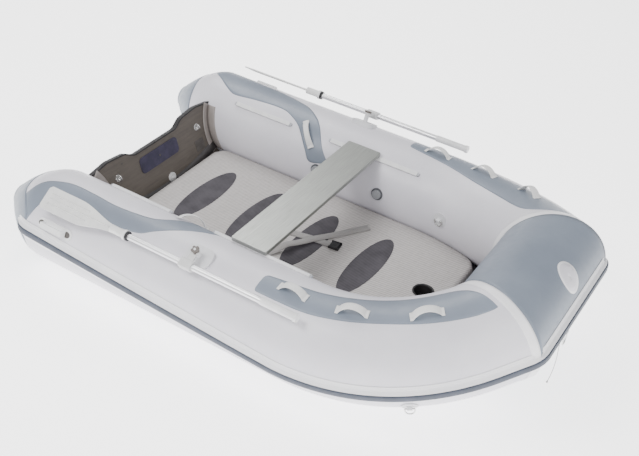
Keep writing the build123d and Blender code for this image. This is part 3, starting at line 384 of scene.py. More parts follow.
def brushed_metal(name, light, dark, stretch, rough=0.34, line=1.2 * MM):
    """Anodised or polished metal with fine draw lines along one direction."""
    material, tree, shader = start(name, Metallic=1.0)
    where = add(tree, "ShaderNodeTexCoord").outputs["Object"]
    drawn = add(tree, "ShaderNodeMapping", {"Vector": where, "Scale": stretch})
    lines = add(tree, "ShaderNodeTexNoise", {"Vector": drawn.outputs["Vector"], "Scale": 1 / line,
                                             "Detail": 3.0})
    ramp = add(tree, "ShaderNodeMapRange", {"Value": lines.outputs["Fac"], "From Min": 0.3, "From Max": 0.7})
    base = add(tree, "ShaderNodeMix", {"Factor": ramp.outputs["Result"], "A": paint(light),
                                       "B": paint(dark)},
               data_type="RGBA")
    tree.links.new(base.outputs["Result"], shader.inputs["Base Color"])
    gloss = add(tree, "ShaderNodeMapRange", {"Value": lines.outputs["Fac"], "To Min": rough - 0.08,
                                             "To Max": rough + 0.12})
    tree.links.new(gloss.outputs["Result"], shader.inputs["Roughness"])
    bump = add(tree, "ShaderNodeBump", {"Height": lines.outputs["Fac"], "Strength": 0.12,
                                        "Distance": 0.2 * MM})
    tree.links.new(bump.outputs["Normal"], shader.inputs["Normal"])
    return material


def painted_plywood(name, light, dark):
    """Marine plywood under thin satin paint: long grain shows through, with small scuffs."""
    material, tree, shader = start(name, IOR=1.5)
    where = add(tree, "ShaderNodeTexCoord").outputs["Object"]
    grain_space = add(tree, "ShaderNodeMapping", {"Vector": where, "Scale": (30, 2.5, 30)})
    grain = add(tree, "ShaderNodeTexNoise", {"Vector": grain_space.outputs["Vector"], "Scale": 3.0,
                                             "Detail": 8.0, "Distortion": 0.6})
    ramp = add(tree, "ShaderNodeMapRange", {"Value": grain.outputs["Fac"], "From Min": 0.3, "From Max": 0.7})
    base = add(tree, "ShaderNodeMix", {"Factor": ramp.outputs["Result"], "A": paint(light),
                                       "B": paint(dark)},
               data_type="RGBA")
    tree.links.new(base.outputs["Result"], shader.inputs["Base Color"])
    scuff = add(tree, "ShaderNodeTexNoise", {"Vector": where, "Scale": 60.0, "Detail": 6.0})
    gloss = add(tree, "ShaderNodeMapRange", {"Value": scuff.outputs["Fac"], "To Min": 0.38, "To Max": 0.62})
    tree.links.new(gloss.outputs["Result"], shader.inputs["Roughness"])
    bump = add(tree, "ShaderNodeBump", {"Height": grain.outputs["Fac"], "Strength": 0.2,
                                        "Distance": 0.4 * MM})
    tree.links.new(bump.outputs["Normal"], shader.inputs["Normal"])
    return material


def woven_webbing(name, light, dark, rib=3.2 * MM):
    """Polyester webbing: close ribs across the strap with a herringbone of threads."""
    material, tree, shader = start(name, IOR=1.5, Roughness=0.75, Sheen_Weight=0.25)
    uv = add(tree, "ShaderNodeUVMap", uv_map="UVMap").outputs["UV"]
    ribs = add(tree, "ShaderNodeTexWave", {"Vector": uv, "Scale": 1 / (rib * 3.1416), "Distortion": 0.6,
                                           "Detail": 2.0}, bands_direction="X")
    cords = add(tree, "ShaderNodeTexWave", {"Vector": uv, "Scale": 1 / (rib * 3.1416)}, bands_direction="Y")
    mix = add(tree, "ShaderNodeMath", {0: cords.outputs["Fac"], 1: 0.4, 2: ribs.outputs["Fac"]},
              operation="MULTIPLY_ADD")
    shade = add(tree, "ShaderNodeMapRange", {"Value": mix.outputs[0], "From Min": 0.0, "From Max": 1.4})
    base = add(tree, "ShaderNodeMix", {"Factor": shade.outputs["Result"], "A": paint(dark),
                                       "B": paint(light)},
               data_type="RGBA")
    tree.links.new(base.outputs["Result"], shader.inputs["Base Color"])
    bump = add(tree, "ShaderNodeBump", {"Height": mix.outputs[0], "Strength": 0.5, "Distance": 0.6 * MM})
    tree.links.new(bump.outputs["Normal"], shader.inputs["Normal"])
    return material


# Calendered PVC film on polyester cloth: an even satin sheen, with a slack, slightly uneven surface.
PALE_PVC = coated_cloth("pale_grey_coated_pvc", "#DCDAE0", "#D3D1D8")
BLUE_PVC = coated_cloth("blue_grey_coated_pvc", "#7C8592", "#717A87")
TAPE_PVC = coated_cloth("white_pvc_seam_tape", "#F0EFF1", "#E8E7EA", rough=0.38)
# Near-black joint tape: painted shade in the crease at the board's foot.
SHADOW_PVC = coated_cloth("joint_tape_pvc_darkened_as_crease_shade", "#3B3838", "#302E2E")
FLANGE_PVC = coated_cloth("grey_brown_pvc_flange", "#938C88", "#847D79")
# Extruded rubber: matt, so the stripe stays one dark line.
STRIPE_RUBBER = moulded("slate_rubber_stripe", "#3F4553", "#363C49", rough=0.5)
# Embossed drop-stitch cloth: matt, with slanting ribs drawn wider than real so that they show.
DECK_CLOTH = dropstitch_cloth("pale_dropstitch_deck", "#C0BCBA", "#918C89")
# Grooved EVA foam: dark and matt, a little dusty, with painted shade in its grooves.
PAD_FOAM = grooved_foam("charcoal_eva_foam", "#4F4C51", "#302D32")
# Hull bottom cloth darker than the tubes: painted shade where it shows in the gap beside the deck.
HULL_CLOTH = coated_cloth("hull_bottom_pvc_darkened_as_gap_shade", "#85848A", "#77767C")
# Keel tube cloth kept near black: painted shade where it shows through the deck's hole.
KEEL_CLOTH = coated_cloth("keel_tube_pvc_darkened_as_well_shade", "#3A3737", "#2E2B2B")
# Satin paint on marine plywood: grain shows faintly through an even taupe.
PLYWOOD = painted_plywood("taupe_painted_plywood", "#5F5851", "#544E48")
# Injection-moulded nylon, acetal and polyethylene: fine eroded grain with soft broken highlights.
NAVY_PAD = moulded("navy_clamp_pad_plastic", "#3B374F", "#2C293D", rough=0.5)
BLACK_TRIM = moulded("black_edge_trim_rubber", "#2A2829", "#1D1C1D", rough=0.55)
DARK_PLATE = moulded("dark_grey_plate_plastic", "#56524F", "#484441", rough=0.5)
WHITE_PLASTIC = moulded("white_moulded_nylon", "#E8E8E8", "#DCDCDD", rough=0.4)
CLEAR_GREY = moulded("light_grey_acetal", "#D5D5D4", "#C4C4C4", rough=0.35)
GREY_RUBBER = moulded("grey_moulded_rubber", "#B9BBC0", "#A9ABB1", rough=0.55)
PALE_RUBBER = moulded("pale_grey_moulded_rubber", "#DADADC", "#CECED1", rough=0.5)
VALVE_GREY = moulded("mid_grey_valve_nylon", "#65676B", "#585A5E", rough=0.45)
CAP_GREY = moulded("mid_grey_valve_cap_nylon", "#9A9CA0", "#8C8E92", rough=0.4)
LOCK_DARK = moulded("dark_bronze_lock_nylon", "#6A635E", "#57514D", rough=0.4)
BLACK_NYLON = moulded("black_moulded_nylon", "#262628", "#171719", rough=0.4)
BLADE_PLASTIC = moulded("pale_oar_blade_plastic", "#E2E2E0", "#D6D6D5", rough=0.42)
# Drawn and anodised aluminium, and polished steel: fine lines that stretch the highlights.
SEAT_METAL = brushed_metal("satin_anodised_seat_aluminium", "#A6A8A4", "#989A96", (1, 0.03, 1),
                           rough=0.42, line=3 * MM)
OAR_METAL = brushed_metal("white_anodised_oar_aluminium", "#EDEDEE", "#DADADC", (0.02, 1, 1), rough=0.36)
STEEL = brushed_metal("polished_stainless_steel", "#D8D8D6", "#BDBDBB", (1, 1, 1), rough=0.2, line=0.6 * MM)
# Woven polyester: close ribs across the strap and a soft edge sheen.
WHITE_WEBBING = woven_webbing("white_polyester_webbing", "#EDEDEB", "#D3D3D2")
GREY_WEBBING = woven_webbing("grey_polyester_webbing", "#9F9C9A", "#777472")
LINE_BRAID = woven_webbing("pale_braided_line", "#C9C7C4", "#A5A3A0", rib=1.6 * MM)


# ---------------------------------------------------------------- air tubes
RING = 96


def ripple(s, angle):
    """Small puckers beside the seams at the cone and at the transom."""
    near_cone = math.exp(-((s - CONE_FROM) / 0.030) ** 2)
    near_board = math.exp(-((s - 0.030) / 0.035) ** 2) * max(0.0, math.sin(math.radians(angle - 60)))
    return (-0.9 * MM * near_cone + 0.5 * MM * math.sin(math.radians(angle) * 17) * near_cone
            - 1.0 * MM * near_board * math.sin(math.radians(angle) * 11) ** 2)


def tube_stations():
    cone = [CONE_END + (CONE_TO - CONE_END) * (1 - math.cos(math.radians(a))) for a in range(0, 91, 15)]
    cone += spread(CONE_TO, CONE_FROM, 22)[1:]
    straight = spread(CONE_FROM, STRAIGHT, 44)[1:]
    bend = spread(STRAIGHT, BEND_S, 40)[1:]
    stub = spread(BEND_S, BEND_S + STUB + TUBE_R, 12)[1:]
    return cone + straight + bend + stub


def side_tube(word, side):
    rows = []
    for s in tube_stations():
        angles = [360 * k / RING for k in range(RING)]
        rows.append([on_tube(side, s, a, ripple(s, a) if s > CONE_TO else 0)[0] for a in angles])
    piece = rows_piece(word + "_air_tube", rows, PALE_PVC, "hull", closed=True, caps=True,
                       flip=side == PORT)
    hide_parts(word + "_tube", word + "_stern_cone")


def bow_air_tube():
    rows = []
    for share in spread(-1, 1, 28):
        rows.append([on_bow(share, 360 * k / RING)[0] for k in range(RING)])
    piece = rows_piece("bow_air_tube", rows, BLUE_PVC, "hull", closed=True, caps=True)
    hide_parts("bow_tube")


def skin(name, side, stations, low, high, lift, material, across=14, depth=1.0 * MM):
    """Sheet on a side tube between two edges that follow the length."""
    rows = []
    for s in stations:
        rows.append([on_tube(side, s, a, lift)[0] for a in spread(low(s), high(s), across)])
    piece = rows_piece(name, rows, material, "hull", flip=side == PORT)
    return thicken(piece, depth)


def seam_tapes(word, side):
    """White tape over the bow seam."""
    width = 0.036
    rows = []
    for k in range(RING + 1):
        angle = 360 * k / RING
        ends = []
        for back in spread(0, width, 5):
            place = on_tube(side, BEND_S + STUB + TUBE_R, angle, 1.2 * MM)[0]
            along = end_along.copy()
            if side == STARBOARD:
                along.y = -along.y
            ends.append(place - along * back)
        rows.append(ends)
    thicken(rows_piece(word + "_bow_seam_tape", rows, TAPE_PVC, "hull",
                       flip=side == PORT), MM)


# ---------------------------------------------------------------- coloured panels
AFT_HIGH = {"starboard": [(-0.127, 53), (-0.082, 70), (-0.011, 82), (0.06, 88), (0.18, 88), (0.30, 86),
                          (0.40, 88),
                          (0.49, 93), (0.54, 103), (0.60, 124), (0.66, 150), (0.70, 156), (0.80, 152)],
            "port": [(-0.127, 62), (-0.082, 84), (-0.011, 98), (0.06, 110), (0.11, 115), (0.24, 111),
                     (0.40, 109),
                     (0.48, 117), (0.533, 127), (0.605, 150), (0.641, 163), (0.70, 161), (0.748, 158)]}
AFT_LOW = {"starboard": [(-0.127, 8), (-0.064, 18), (-0.011, 47), (0.03, 57), (0.20, 59), (0.43, 63),
                         (0.498, 67),
                         (0.542, 76), (0.596, 87), (0.658, 100), (0.73, 117), (0.77, 134), (0.80, 151)],
           "port": [(-0.127, 8), (-0.064, 18), (-0.011, 47), (0.05, 62), (0.30, 72), (0.471, 84),
                    (0.507, 88),
                    (0.587, 103), (0.632, 116), (0.694, 141), (0.748, 157)]}
CAP_EDGE = [(-180, -0.100), (-90, -0.085), (0, -0.078), (18, -0.064), (30, -0.060), (50, -0.124),
            (60, -0.150),
            (80, -0.160), (100, -0.155), (130, -0.135), (180, -0.100)]
FORE_HIGH = [(1.070, 84), (1.074, 87), (1.084, 89), (1.30, 98), (1.51, 107), (1.768, 113),
             (1.880, 113.5), (1.930, 111),
             (1.965, 106), (1.995, 97), (2.015, 88), (2.030, 78), (2.038, 71)]
FORE_LOW = [(1.070, 68), (1.074, 65), (1.084, 64), (1.283, 65), (1.457, 69), (1.621, 72), (1.784, 71),
            (1.976, 69),
            (2.020, 69), (2.038, 70)]


def coloured_panels(word, side):
    high, low = AFT_HIGH[word], AFT_LOW[word]
    aft = skin(word + "_aft_swoosh", side, spread(high[0][0], high[-1][0], 90), lambda s: smooth(low, s),
               lambda s: max(smooth(high, s), smooth(low, s) + 0.3), 0.5 * MM, BLUE_PVC)
    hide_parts(word + "_aft_panel")
    fore = skin(word + "_fore_patch", side, spread(1.070, 1.084, 6) + spread(1.09, 1.93, 60)
                + spread(1.935, 2.038, 30),
                lambda s: smooth(FORE_LOW, s), lambda s: smooth(FORE_HIGH, s), 0.5 * MM, BLUE_PVC)
    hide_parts(word + "_fore_panel")
    rows = []
    for k in range(RING + 1):
        angle = -180 + 360 * k / RING
        edge = smooth(CAP_EDGE, angle)
        tip = [CONE_TO + (CONE_END - CONE_TO) * math.sin(math.radians(a)) for a in range(15, 86, 10)]
        stations = spread(edge, CONE_TO, 14) + tip
        rows.append([on_tube(side, s, angle, 0.45 * MM)[0] for s in stations])
    thicken(rows_piece(word + "_cone_cap_patch", rows, BLUE_PVC, "hull",
                       flip=side == STARBOARD),
            1.0 * MM)


# ---------------------------------------------------------------- rub strake
def strake_angle(s):
    """Height of the strake round the tube, as it runs from the stern to the bow seam."""
    start_angle, bend_angle = 9.0, STRAKE_BOW - SHEER
    if s <= STRAIGHT:
        return start_angle + (bend_angle - start_angle) * (s + 0.02) / (STRAIGHT + 0.02)
    a = min((s - STRAIGHT) / BEND_R, turn)
    out = Vector((math.sin(a), 0, 0)) + out_dir * math.cos(a)
    lean = out * math.cos(math.radians(STRAKE_BOW)) + up_dir * math.sin(math.radians(STRAKE_BOW))
    outboard, above = section(s)[2:]
    return math.degrees(math.atan2(lean.dot(above), lean.dot(outboard)))


STRAKE_SECTION = [(-12, 0.3), (-12, 2.2), (-11.2, 3.0), (-9.6, 3.0), (-9.2, 4.4), (-8.6, 4.4), (-8.2, 3.0),
                  (-6.6, 3.4), (-5.6, 7), (-5.0, 12), (-4.5, 15.5), (-3.9, 16.6), (3.9, 16.6),
                  (4.5, 15.5), (5.0, 12),
                  (5.6, 7), (6.6, 3.4), (8.2, 3.0), (8.6, 4.4), (9.2, 4.4), (9.6, 3.0), (11.2, 3.0),
                  (12, 2.2), (12, 0.3)]
STRIPE_SECTION = [(-3.7, 16.0), (-3.6, 20.0), (-2.9, 21.4), (-1.2, 22.2), (1.2, 22.2), (2.9, 21.4),
                  (3.6, 20.0),
                  (3.7, 16.0)]
CORNER_BLEND = 0.050
STRAKE_TAIL = -0.130


def strake_rows(profile):
    """Sections round the hull; the turns at the bow seams are eased over CORNER_BLEND on each side."""
    rows = []
    far = BEND_S + STUB + TUBE_R
    stations = spread(STRAKE_TAIL, -0.02, 8)[:-1] + spread(-0.02, STRAIGHT, 30) + spread(STRAIGHT,
                                                                                         BEND_S, 34)[1:]
    for side in (PORT, STARBOARD):
        half = []
        for s in stations:
            grow = min(1, 0.1 + (s - STRAKE_TAIL) / 0.045)
            half.append([on_tube(side, s, strake_angle(s) + d, h * grow * MM)[0] for d, h in profile])
        seam_row = [on_tube(side, far, strake_angle(far) + d, h * MM)[0] for d, h in profile]
        before, last = len(half), half[-1]
        for k in range(1, 17):
            half.append([a.lerp(b, k / 16) for a, b in zip(last, seam_row)])
        for share in spread(side, 0, 41)[1:20]:
            half.append([on_bow(share, BOW_STRAKE + d, h * MM)[0] for d, h in profile])
        corner = before + 15
        eased = [list(row) for row in half]
        for r in range(before, len(half) - 2):
            if (half[corner][0] - half[r][0]).length > 2 * CORNER_BLEND:
                continue
            for c in range(len(profile)):
                near = [row[c] for row in half if (row[c] - half[r][c]).length < CORNER_BLEND]
                eased[r][c] = sum(near, Vector((0, 0, 0))) / len(near)
        rows += eased if side == PORT else eased[::-1]
    return rows


def rub_strake():
    band = rows_piece("rub_strake_moulding", strake_rows(STRAKE_SECTION), TAPE_PVC, "hull",
                      closed=True, caps=True, flip=True)
    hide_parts("rub_strake")
    stripe = rows_piece("rub_strake_stripe", strake_rows(STRIPE_SECTION), STRIPE_RUBBER, "hull",
                        closed=True, caps=True, flip=True)
    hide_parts("rub_stripe")


# ---------------------------------------------------------------- floor and hull bottom
axis_points = [route(s)[0] for s in spread(-0.02, BEND_S, 160)]


def inside_half(x, z, gap=0.0):
    """Half width between the side tubes at a height, x along the boat."""
    y = 0.0
    step = 2.0 * MM
    near = [p for p in axis_points if abs(p.x - x) < TUBE_R + 0.06]
    while y < 0.5 and all((Vector((x, y + step, z)) - p).length > TUBE_R + gap for p in near):
        y += step
    return y


def air_deck():
    """Drop-stitch floor: flat top, rounded sides and corners, and the hole over the keel valve."""
    mid_z, half_t = (FLOOR_TOP + FLOOR_BASE) / 2, (FLOOR_TOP - FLOOR_BASE) / 2
    x_aft, x_fore = X0 + 0.118, FLOOR_FORE
    hole_x = X0 + WELL_X
    rows = []
    for x in spread(x_aft + 2 * MM, x_fore - 2 * MM, 70):
        half = inside_half(x, mid_z, DECK_GAP) - half_t
        corner = 0.06
        for end in (x_aft, x_fore):
            d = abs(x - end)
            if d < corner:
                half -= corner - math.sqrt(corner ** 2 - (corner - d) ** 2)
        row = []
        for t in spread(-1, 1, 41):
            row.append(Vector((x, half * t, FLOOR_TOP)))
        for k in range(1, 8):
            a = math.pi / 2 - math.pi * k / 8
            row.append(Vector((x, half + half_t * math.cos(a), mid_z + half_t * math.sin(a))))
        for t in spread(1, -1, 41):
            row.append(Vector((x, half * t, FLOOR_BASE)))
        for k in range(1, 8):
            a = -math.pi / 2 - math.pi * k / 8
            row.append(Vector((x, -half + half_t * math.cos(a), mid_z + half_t * math.sin(a))))
        rows.append(row)
    deck = rows_piece("air_deck", rows, DECK_CLOTH, "hull", closed=True, caps=True,
                      flip=True)
    cutter_points = [(hole_x + WELL_R * c, WELL_R * s) for c, s in oval(1, 1, 48)]
    cutter = outline_piece("deck_hole_cutter", cutter_points, Matrix.Identity(4), 0.2, DECK_CLOTH, "hull",
                           base=0.0)
    cut = deck.modifiers.new("keel_hole", "BOOLEAN")
    cut.object = cutter
    cut.solver = "EXACT"
    bpy.context.view_layer.update()
    graph = bpy.context.evaluated_depsgraph_get()
    finished = bpy.data.meshes.new_from_object(deck.evaluated_get(graph))
    deck.modifiers.clear()
    deck.data = finished
    bpy.data.objects.remove(cutter)
    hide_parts("air_floor")


def keel_well_shade_lining():
    """Black sleeve inside the deck's hole over the keel valve: painted shade on the hole's wall."""
    rows = []
    for z, r in ((FLOOR_TOP + 0.8 * MM, 0.049), (FLOOR_TOP + 1.6 * MM, 0.046),
                 (FLOOR_TOP + 1.2 * MM, 0.0415),
                 (FLOOR_TOP - 4 * MM, 0.0408), (FLOOR_BASE + 2 * MM, 0.0408)):
        rows.append([Vector((X0 + WELL_X + r * c, r * s, z)) for c, s in oval(1, 1, 48)])
    rows_piece("keel_well_shade_lining", rows, BLACK_TRIM, "hull", closed=True)


def deck_pads():
    """Four oval anti-slip pads with a bevelled rim."""
    for k, x in enumerate(PAD_PLACES):
        place = Matrix.Translation((X0 + x, 0, FLOOR_TOP))
        pad = outline_piece(f"traction_pad_{k + 1}", oval(*PAD_HALF, 64), place, PAD_T, PAD_FOAM, "hull",
                            edge=0.6 * MM)
        if k == 0:
            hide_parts("traction_pads")


def hull_bottom():
    """Fabric bottom: a shallow vee that climbs to the bow; its cloth is kept dark as painted shade in the
    gap beside the deck.
    """
    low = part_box("hull_sheet")
    rise_x, rise_r, slope = X0 + 1.450, 0.500, math.tan(math.radians(8.0))
    rows = []
    for x in spread(low[0][0], X0 + 1.90, 150):
        keel = 2.2 * MM
        if x > rise_x:
            keel += rise_r - math.sqrt(rise_r ** 2 - (x - rise_x) ** 2)
        half = 0.0
        while half < 0.46:
            z = keel + (half + 0.004) * slope
            spot = Vector((x, half + 0.004, z))
            if any((spot - p).length < TUBE_R - 3 * MM for p in axis_points if abs(p.x - x) < 0.25):
                break
            half += 0.004
        if math.hypot(x - seam.x, keel - seam.z) < TUBE_R:
            break
        rows.append([Vector((x, half * t, keel + abs(half * t) * slope)) for t in spread(-1, 1, 31)])
    bow_axis = Vector((seam.x, 0, seam.z))
    joined = []
    for point in rows[-1]:
        inward = bow_axis + Vector((0, point.y, 0)) - point
        joined.append(point + inward * max(0.0, 1 - (TUBE_R - 4 * MM) / inward.length))
    rows.append(joined)
    bottom = rows_piece("hull_bottom_skin", rows, HULL_CLOTH, "hull", flip=True)
    thicken(bottom, 1.2 * MM, -1.0)
    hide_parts("hull_sheet")
    lo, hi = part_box("keel_tube")
    centre_z, radius = (lo[2] + hi[2]) / 2, (hi[2] - lo[2]) / 2
    rows = []
    for x in spread(lo[0], hi[0], 60):
        ends = min(x - lo[0], hi[0] - x, 0.09) / 0.09
        r = radius * (0.45 + 0.55 * math.sqrt(max(0.0, 1 - (1 - ends) ** 2)))
        rows.append([Vector((x, r * c, centre_z + r * s)) for c, s in oval(1, 1, 32)])
    keel = rows_piece("keel_air_tube", rows, KEEL_CLOTH, "hull", closed=True, caps=True)
    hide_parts("keel_tube")


# ---------------------------------------------------------------- transom
RAKE = math.radians(18.0)
board_foot = Vector((X0 + 0.205 * math.tan(RAKE), 0, FLOOR_TOP))
board_up = Vector((-math.sin(RAKE), 0, math.cos(RAKE)))
board_out = Vector((math.cos(RAKE), 0, math.sin(RAKE)))
BOARD = Matrix((Vector((0, 1, 0)), board_up, board_out)).transposed().to_4x4()
BOARD.translation = board_foot
BOARD_TOP = [(0.430, 0.205), (0.320, 0.220), (0.205, 0.210), (0.150, 0.180)]


def board_top(y):
    """The board's top edge, in straight runs between its corners."""
    y = abs(y)
    for (y0, z0), (y1, z1) in zip(BOARD_TOP, BOARD_TOP[1:]):
        if y >= y1:
            return (z1 + (z0 - z1) * (y - y1) / (y0 - y1)) / math.cos(RAKE)
    return BOARD_TOP[-1][1] / math.cos(RAKE)


def edge_trim():
    """Black rubber channel pushed over the board's top edge."""
    rows = []
    thick, wall, deep = 0.025, 0.0018, 0.005
    for y in spread(-0.430, 0.430, 173):
        z = sum(board_top(y + d * 6 * MM) for d in (-2, -1, 0, 1, 2)) / 5
        ring = [(wall, -deep), (wall, wall), (-thick - wall, wall), (-thick - wall, -deep),
                (-thick - 0.3 * MM, -deep), (-thick - 0.3 * MM, 0.4 * MM), (0.3 * MM, 0.4 * MM),
                (0.3 * MM, -deep)]
        rows.append([BOARD @ Vector((y, z + up, out)) for out, up in ring])
    trim = rows_piece("transom_edge_trim", rows, BLACK_TRIM, "hull", closed=True, caps=True)
    soften(trim, 0.8 * MM)


def board_foot_trim():
    """Tape where the board meets the hull bottom, near black as painted shade in the crease there."""
    rows = []
    for y in spread(-0.385, 0.385, 30):
        lift = -0.030 + 0.4 * y * y
        rows.append([BOARD @ Vector((y, lift, 1.0 * MM)), BOARD @ Vector((y, lift - 0.022, 3.0 * MM)),
                     BOARD @ Vector((y, lift - 0.045, 14.0 * MM))])
    thicken(rows_piece("transom_foot_tape", rows, SHADOW_PVC, "hull"), MM)


def flange_leg(name, side, out_from_tube, along_tube):
    """One leg of a glue flange: it runs up the tube beside the board's forward face."""
    rows = []
    for angle in spread(142, 205, 26):
        row = []
        for share in spread(0, 1, 4):
            place = on_tube(side, 0.0, angle, 1.0 * MM + out_from_tube * share)[0]
            face_x = board_foot.x - (place.z - FLOOR_TOP) * math.tan(RAKE)
            row.append(Vector((face_x + 2 * MM + along_tube * share, place.y, place.z)))
        rows.append(row)
    return thicken(rows_piece(name, rows, FLANGE_PVC, "hull", flip=side == STARBOARD), MM)


def board_flanges(word, side):
    """Glue flange: one leg on the tube, one on the board's face."""
    leg = flange_leg(word + "_flange_on_tube", side, 0.0, 0.046)
    flange_leg(word + "_flange_on_board", side, 0.034, 0.0)
    return leg


def board_details():
    """Screws in the clamp pad and plate, and the ribbed square on the plate."""
    for k, (y, z) in enumerate(((-0.24, 0.178), (0.0, 0.112))):
        place = BOARD @ Matrix.Translation((y, z / math.cos(RAKE), 0.0045 if abs(y) < 0.2 else 0.0005))
        outline_piece(f"transom_screw_{k + 1}", oval(0.005, 0.005, 20), place, 2.0 * MM, DARK_PLATE, "hull",
                      edge=0.8 * MM)
    middle = BOARD @ Matrix.Translation((0.285, 0.040 / math.cos(RAKE), 0.002))
    for k, offset in enumerate(spread(-0.020, 0.020, 5)):
        rib = [(offset - 0.003, -0.020), (offset + 0.003, -0.020), (offset + 0.003, 0.020),
               (offset - 0.003, 0.020)]
        outline_piece(f"plate_rib_{k + 1}", rib, middle, 1.2 * MM, DARK_PLATE, "hull",
                      edge=0.5 * MM)


# ---------------------------------------------------------------- handles
def strap_handle(name, place, length, rise=0.031, foot=0.012, width=0.040):
    """Webbing arch with short stitched feet; the tube falls away under the feet on each side."""
    half = length / 2
    rows = []
    for x in spread(-half, half, 49):
        inner = half - foot
        h = 0.0 if abs(x) > inner else rise * (1 - (x / inner) ** 2) ** 0.8
        narrow = 1 - 0.18 * min(1, h / rise)
        row = []
        for y, z in ((-1, 0.8), (-0.96, 2.6), (-0.6, 3.3), (0, 3.6), (0.6, 3.3), (0.96, 2.6), (1, 0.8),
                     (0.5, 0.4),
                     (-0.5, 0.4)):
            off = y * width / 2 * narrow
            sag = (math.sqrt(TUBE_R ** 2 - off ** 2) - TUBE_R) * (1 - h / rise)
            row.append(place @ Vector((x, off, h + z * MM + sag)))
        rows.append(row)
    return rows_piece(name, rows, WHITE_WEBBING, "hull", closed=True, caps=True)


def bow_and_inner_handles():
    first = True
    for word, side in SIDES.items():
        for k, s in enumerate(BOW_HANDLE_PLACES):
            place = tube_frame(side, s, HANDLE_ANGLE, 1.6 * MM)
            strap = strap_handle(f"{word}_bow_handle_{k + 1}", place, BOW_HANDLE_LONG)
            if first:
                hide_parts("bow_handles")
                first = False
        turned = tube_frame(side, INNER_HANDLE_AT, INNER_HANDLE_ANGLE, -1.0 * MM)
        turned = turned @ Matrix.Rotation(math.radians(INNER_HANDLE_SPIN), 4, "Z")
        strap = strap_handle(f"{word}_inner_handle", turned, INNER_HANDLE_LONG, width=0.032)
        if side == PORT:
            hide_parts("inner_handles")


def aft_handle_shadows(word, side):
    """Dark discs on the pad under each end of the grip: painted shade in the cups moulded there."""
    for k, x in enumerate(GRAB_CUPS):
        place = tube_frame(side, GRAB_AT + x, GRAB_ANGLE, 4.0 * MM)
        outline_piece(f"{word}_grab_cup_shade_{k + 1}", oval(0.017, 0.014, 28), place, 1.0 * MM, DARK_PLATE,
                      "hull",
                      edge=0.3 * MM)


# ---------------------------------------------------------------- floor strap
def strap_ribbon(name, points, width=0.038, thick=0.0022):
    """Flat strap along a path of (x, y, height above the deck)."""
    path = [Vector((X0 + x, y, FLOOR_TOP + h)) for x, y, h in points]
    curve = []
    for k in range(len(path) - 1):
        p0, p1 = path[max(k - 1, 0)], path[k]
        p2, p3 = path[k + 1], path[min(k + 2, len(path) - 1)]
        for j in range(8):
            t = j / 8
            curve.append(0.5 * (2 * p1 + (p2 - p0) * t + (2 * p0 - 5 * p1 + 4 * p2 - p3) * t * t
                                + (3 * p1 - p0 - 3 * p2 + p3) * t ** 3))
    curve.append(path[-1])
    rows = []
    for k, point in enumerate(curve):
        ahead = curve[min(k + 1, len(curve) - 1)] - curve[max(k - 1, 0)]
        flat = Vector((-ahead.y, ahead.x, 0)).normalized() * width / 2
        up = ahead.normalized().cross(Vector((-ahead.y, ahead.x, 0)).normalized()) * -thick
        if up.z < 0:
            up = -up
        rows.append([point - flat, point - flat * 0.97 + up, point + flat * 0.97 + up, point + flat])
    return rows_piece(name, rows, GREY_WEBBING, "hull", closed=True, caps=True, flip=True)


def floor_strap():
    buckled = [(0.800, -0.004, 0.0025), (0.86, 0.006, 0.003), (0.922, 0.015, 0.006), (0.97, 0.022, 0.004),
               (1.000, 0.0255, 0.0028), (1.048, 0.032, 0.0028)]
    free = [(0.805, -0.205, 0.0025), (0.832, -0.165, 0.012), (0.858, -0.122, 0.030), (0.880, -0.075, 0.020),
            (0.902, -0.025, 0.011), (0.922, 0.012, 0.0095), (0.960, 0.070, 0.0055), (1.010, 0.146, 0.0026),
            (1.045, 0.198, 0.004), (1.078, 0.248, 0.0026)]
    first = strap_ribbon("floor_strap_buckled_end", buckled)
    strap_ribbon("floor_strap_free_end", free)
    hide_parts("floor_strap")


# ---------------------------------------------------------------- small fittings
def bow_emblem():
    """Blank oval patch on the bow tube, with a pale rim."""
    for name, scale, lift, material in (("bow_oval_rim", 1.0, 0.5, TAPE_PVC),
                                        ("bow_oval_face", 0.86, 1.1, PALE_PVC)):
        rows = []
        for r in (0.02, 0.35, 0.7, 1.0):
            row = []
            for c, s in oval(1, 1, 48):
                angle = 44 + 19.0 * scale * r * (c * 0.97 + s * 0.22)
                place = on_bow(0, angle, lift * MM)[0]
                place.y = 0.020 + 0.058 * scale * r * (s * 0.97 - c * 0.22)
                row.append(place)
            rows.append(row)
        thicken(rows_piece(name, rows, material, "hull", closed=True, flip=True), 0.5 * MM)


def rail_stops(word, side):
    for k, s in enumerate(RAIL_ENDS):
        place = tube_frame(side, s, RAIL_ANGLE, 0.5 * MM)
        outline_piece(f"{word}_rail_stop_{k + 1}", oval(0.005, 0.008, 24, 4), place, 9 * MM, GREY_RUBBER,
                      "hull",
                      edge=0.8 * MM)


def blade_ribs(word, side):
    """Two raised ribs on each face of the blade."""
    lean = math.radians(OAR_ANGLE)
    normal = Vector((0, side * math.cos(lean), math.sin(lean)))
    across = Vector((0, -side * math.sin(lean), math.cos(lean)))
    point = Vector((0, side * TUBE_Y, AXIS_Z)) + normal * (TUBE_R + OAR_LIFT)
    for j, face in enumerate((1, -1)):
        for k, width in enumerate((-0.022, 0.0, 0.022)):
            rows = []
            for x in spread(X0 + 0.060, X0 + (0.395 if k == 1 else 0.270), 14):
                base = Vector((x, point.y, point.z)) + across * width + normal * face * 2.9 * MM
                rows.append([base - across * 3 * MM, base - across * 1.4 * MM + normal * face * 2.2 * MM,
                             base + across * 1.4 * MM + normal * face * 2.2 * MM, base + across * 3 * MM])
            rows_piece(f"{word}_blade_rib_{j * 3 + k + 1}", rows, BLADE_PLASTIC, word + "_oar",
                       closed=True, caps=True, flip=(face * side) > 0)


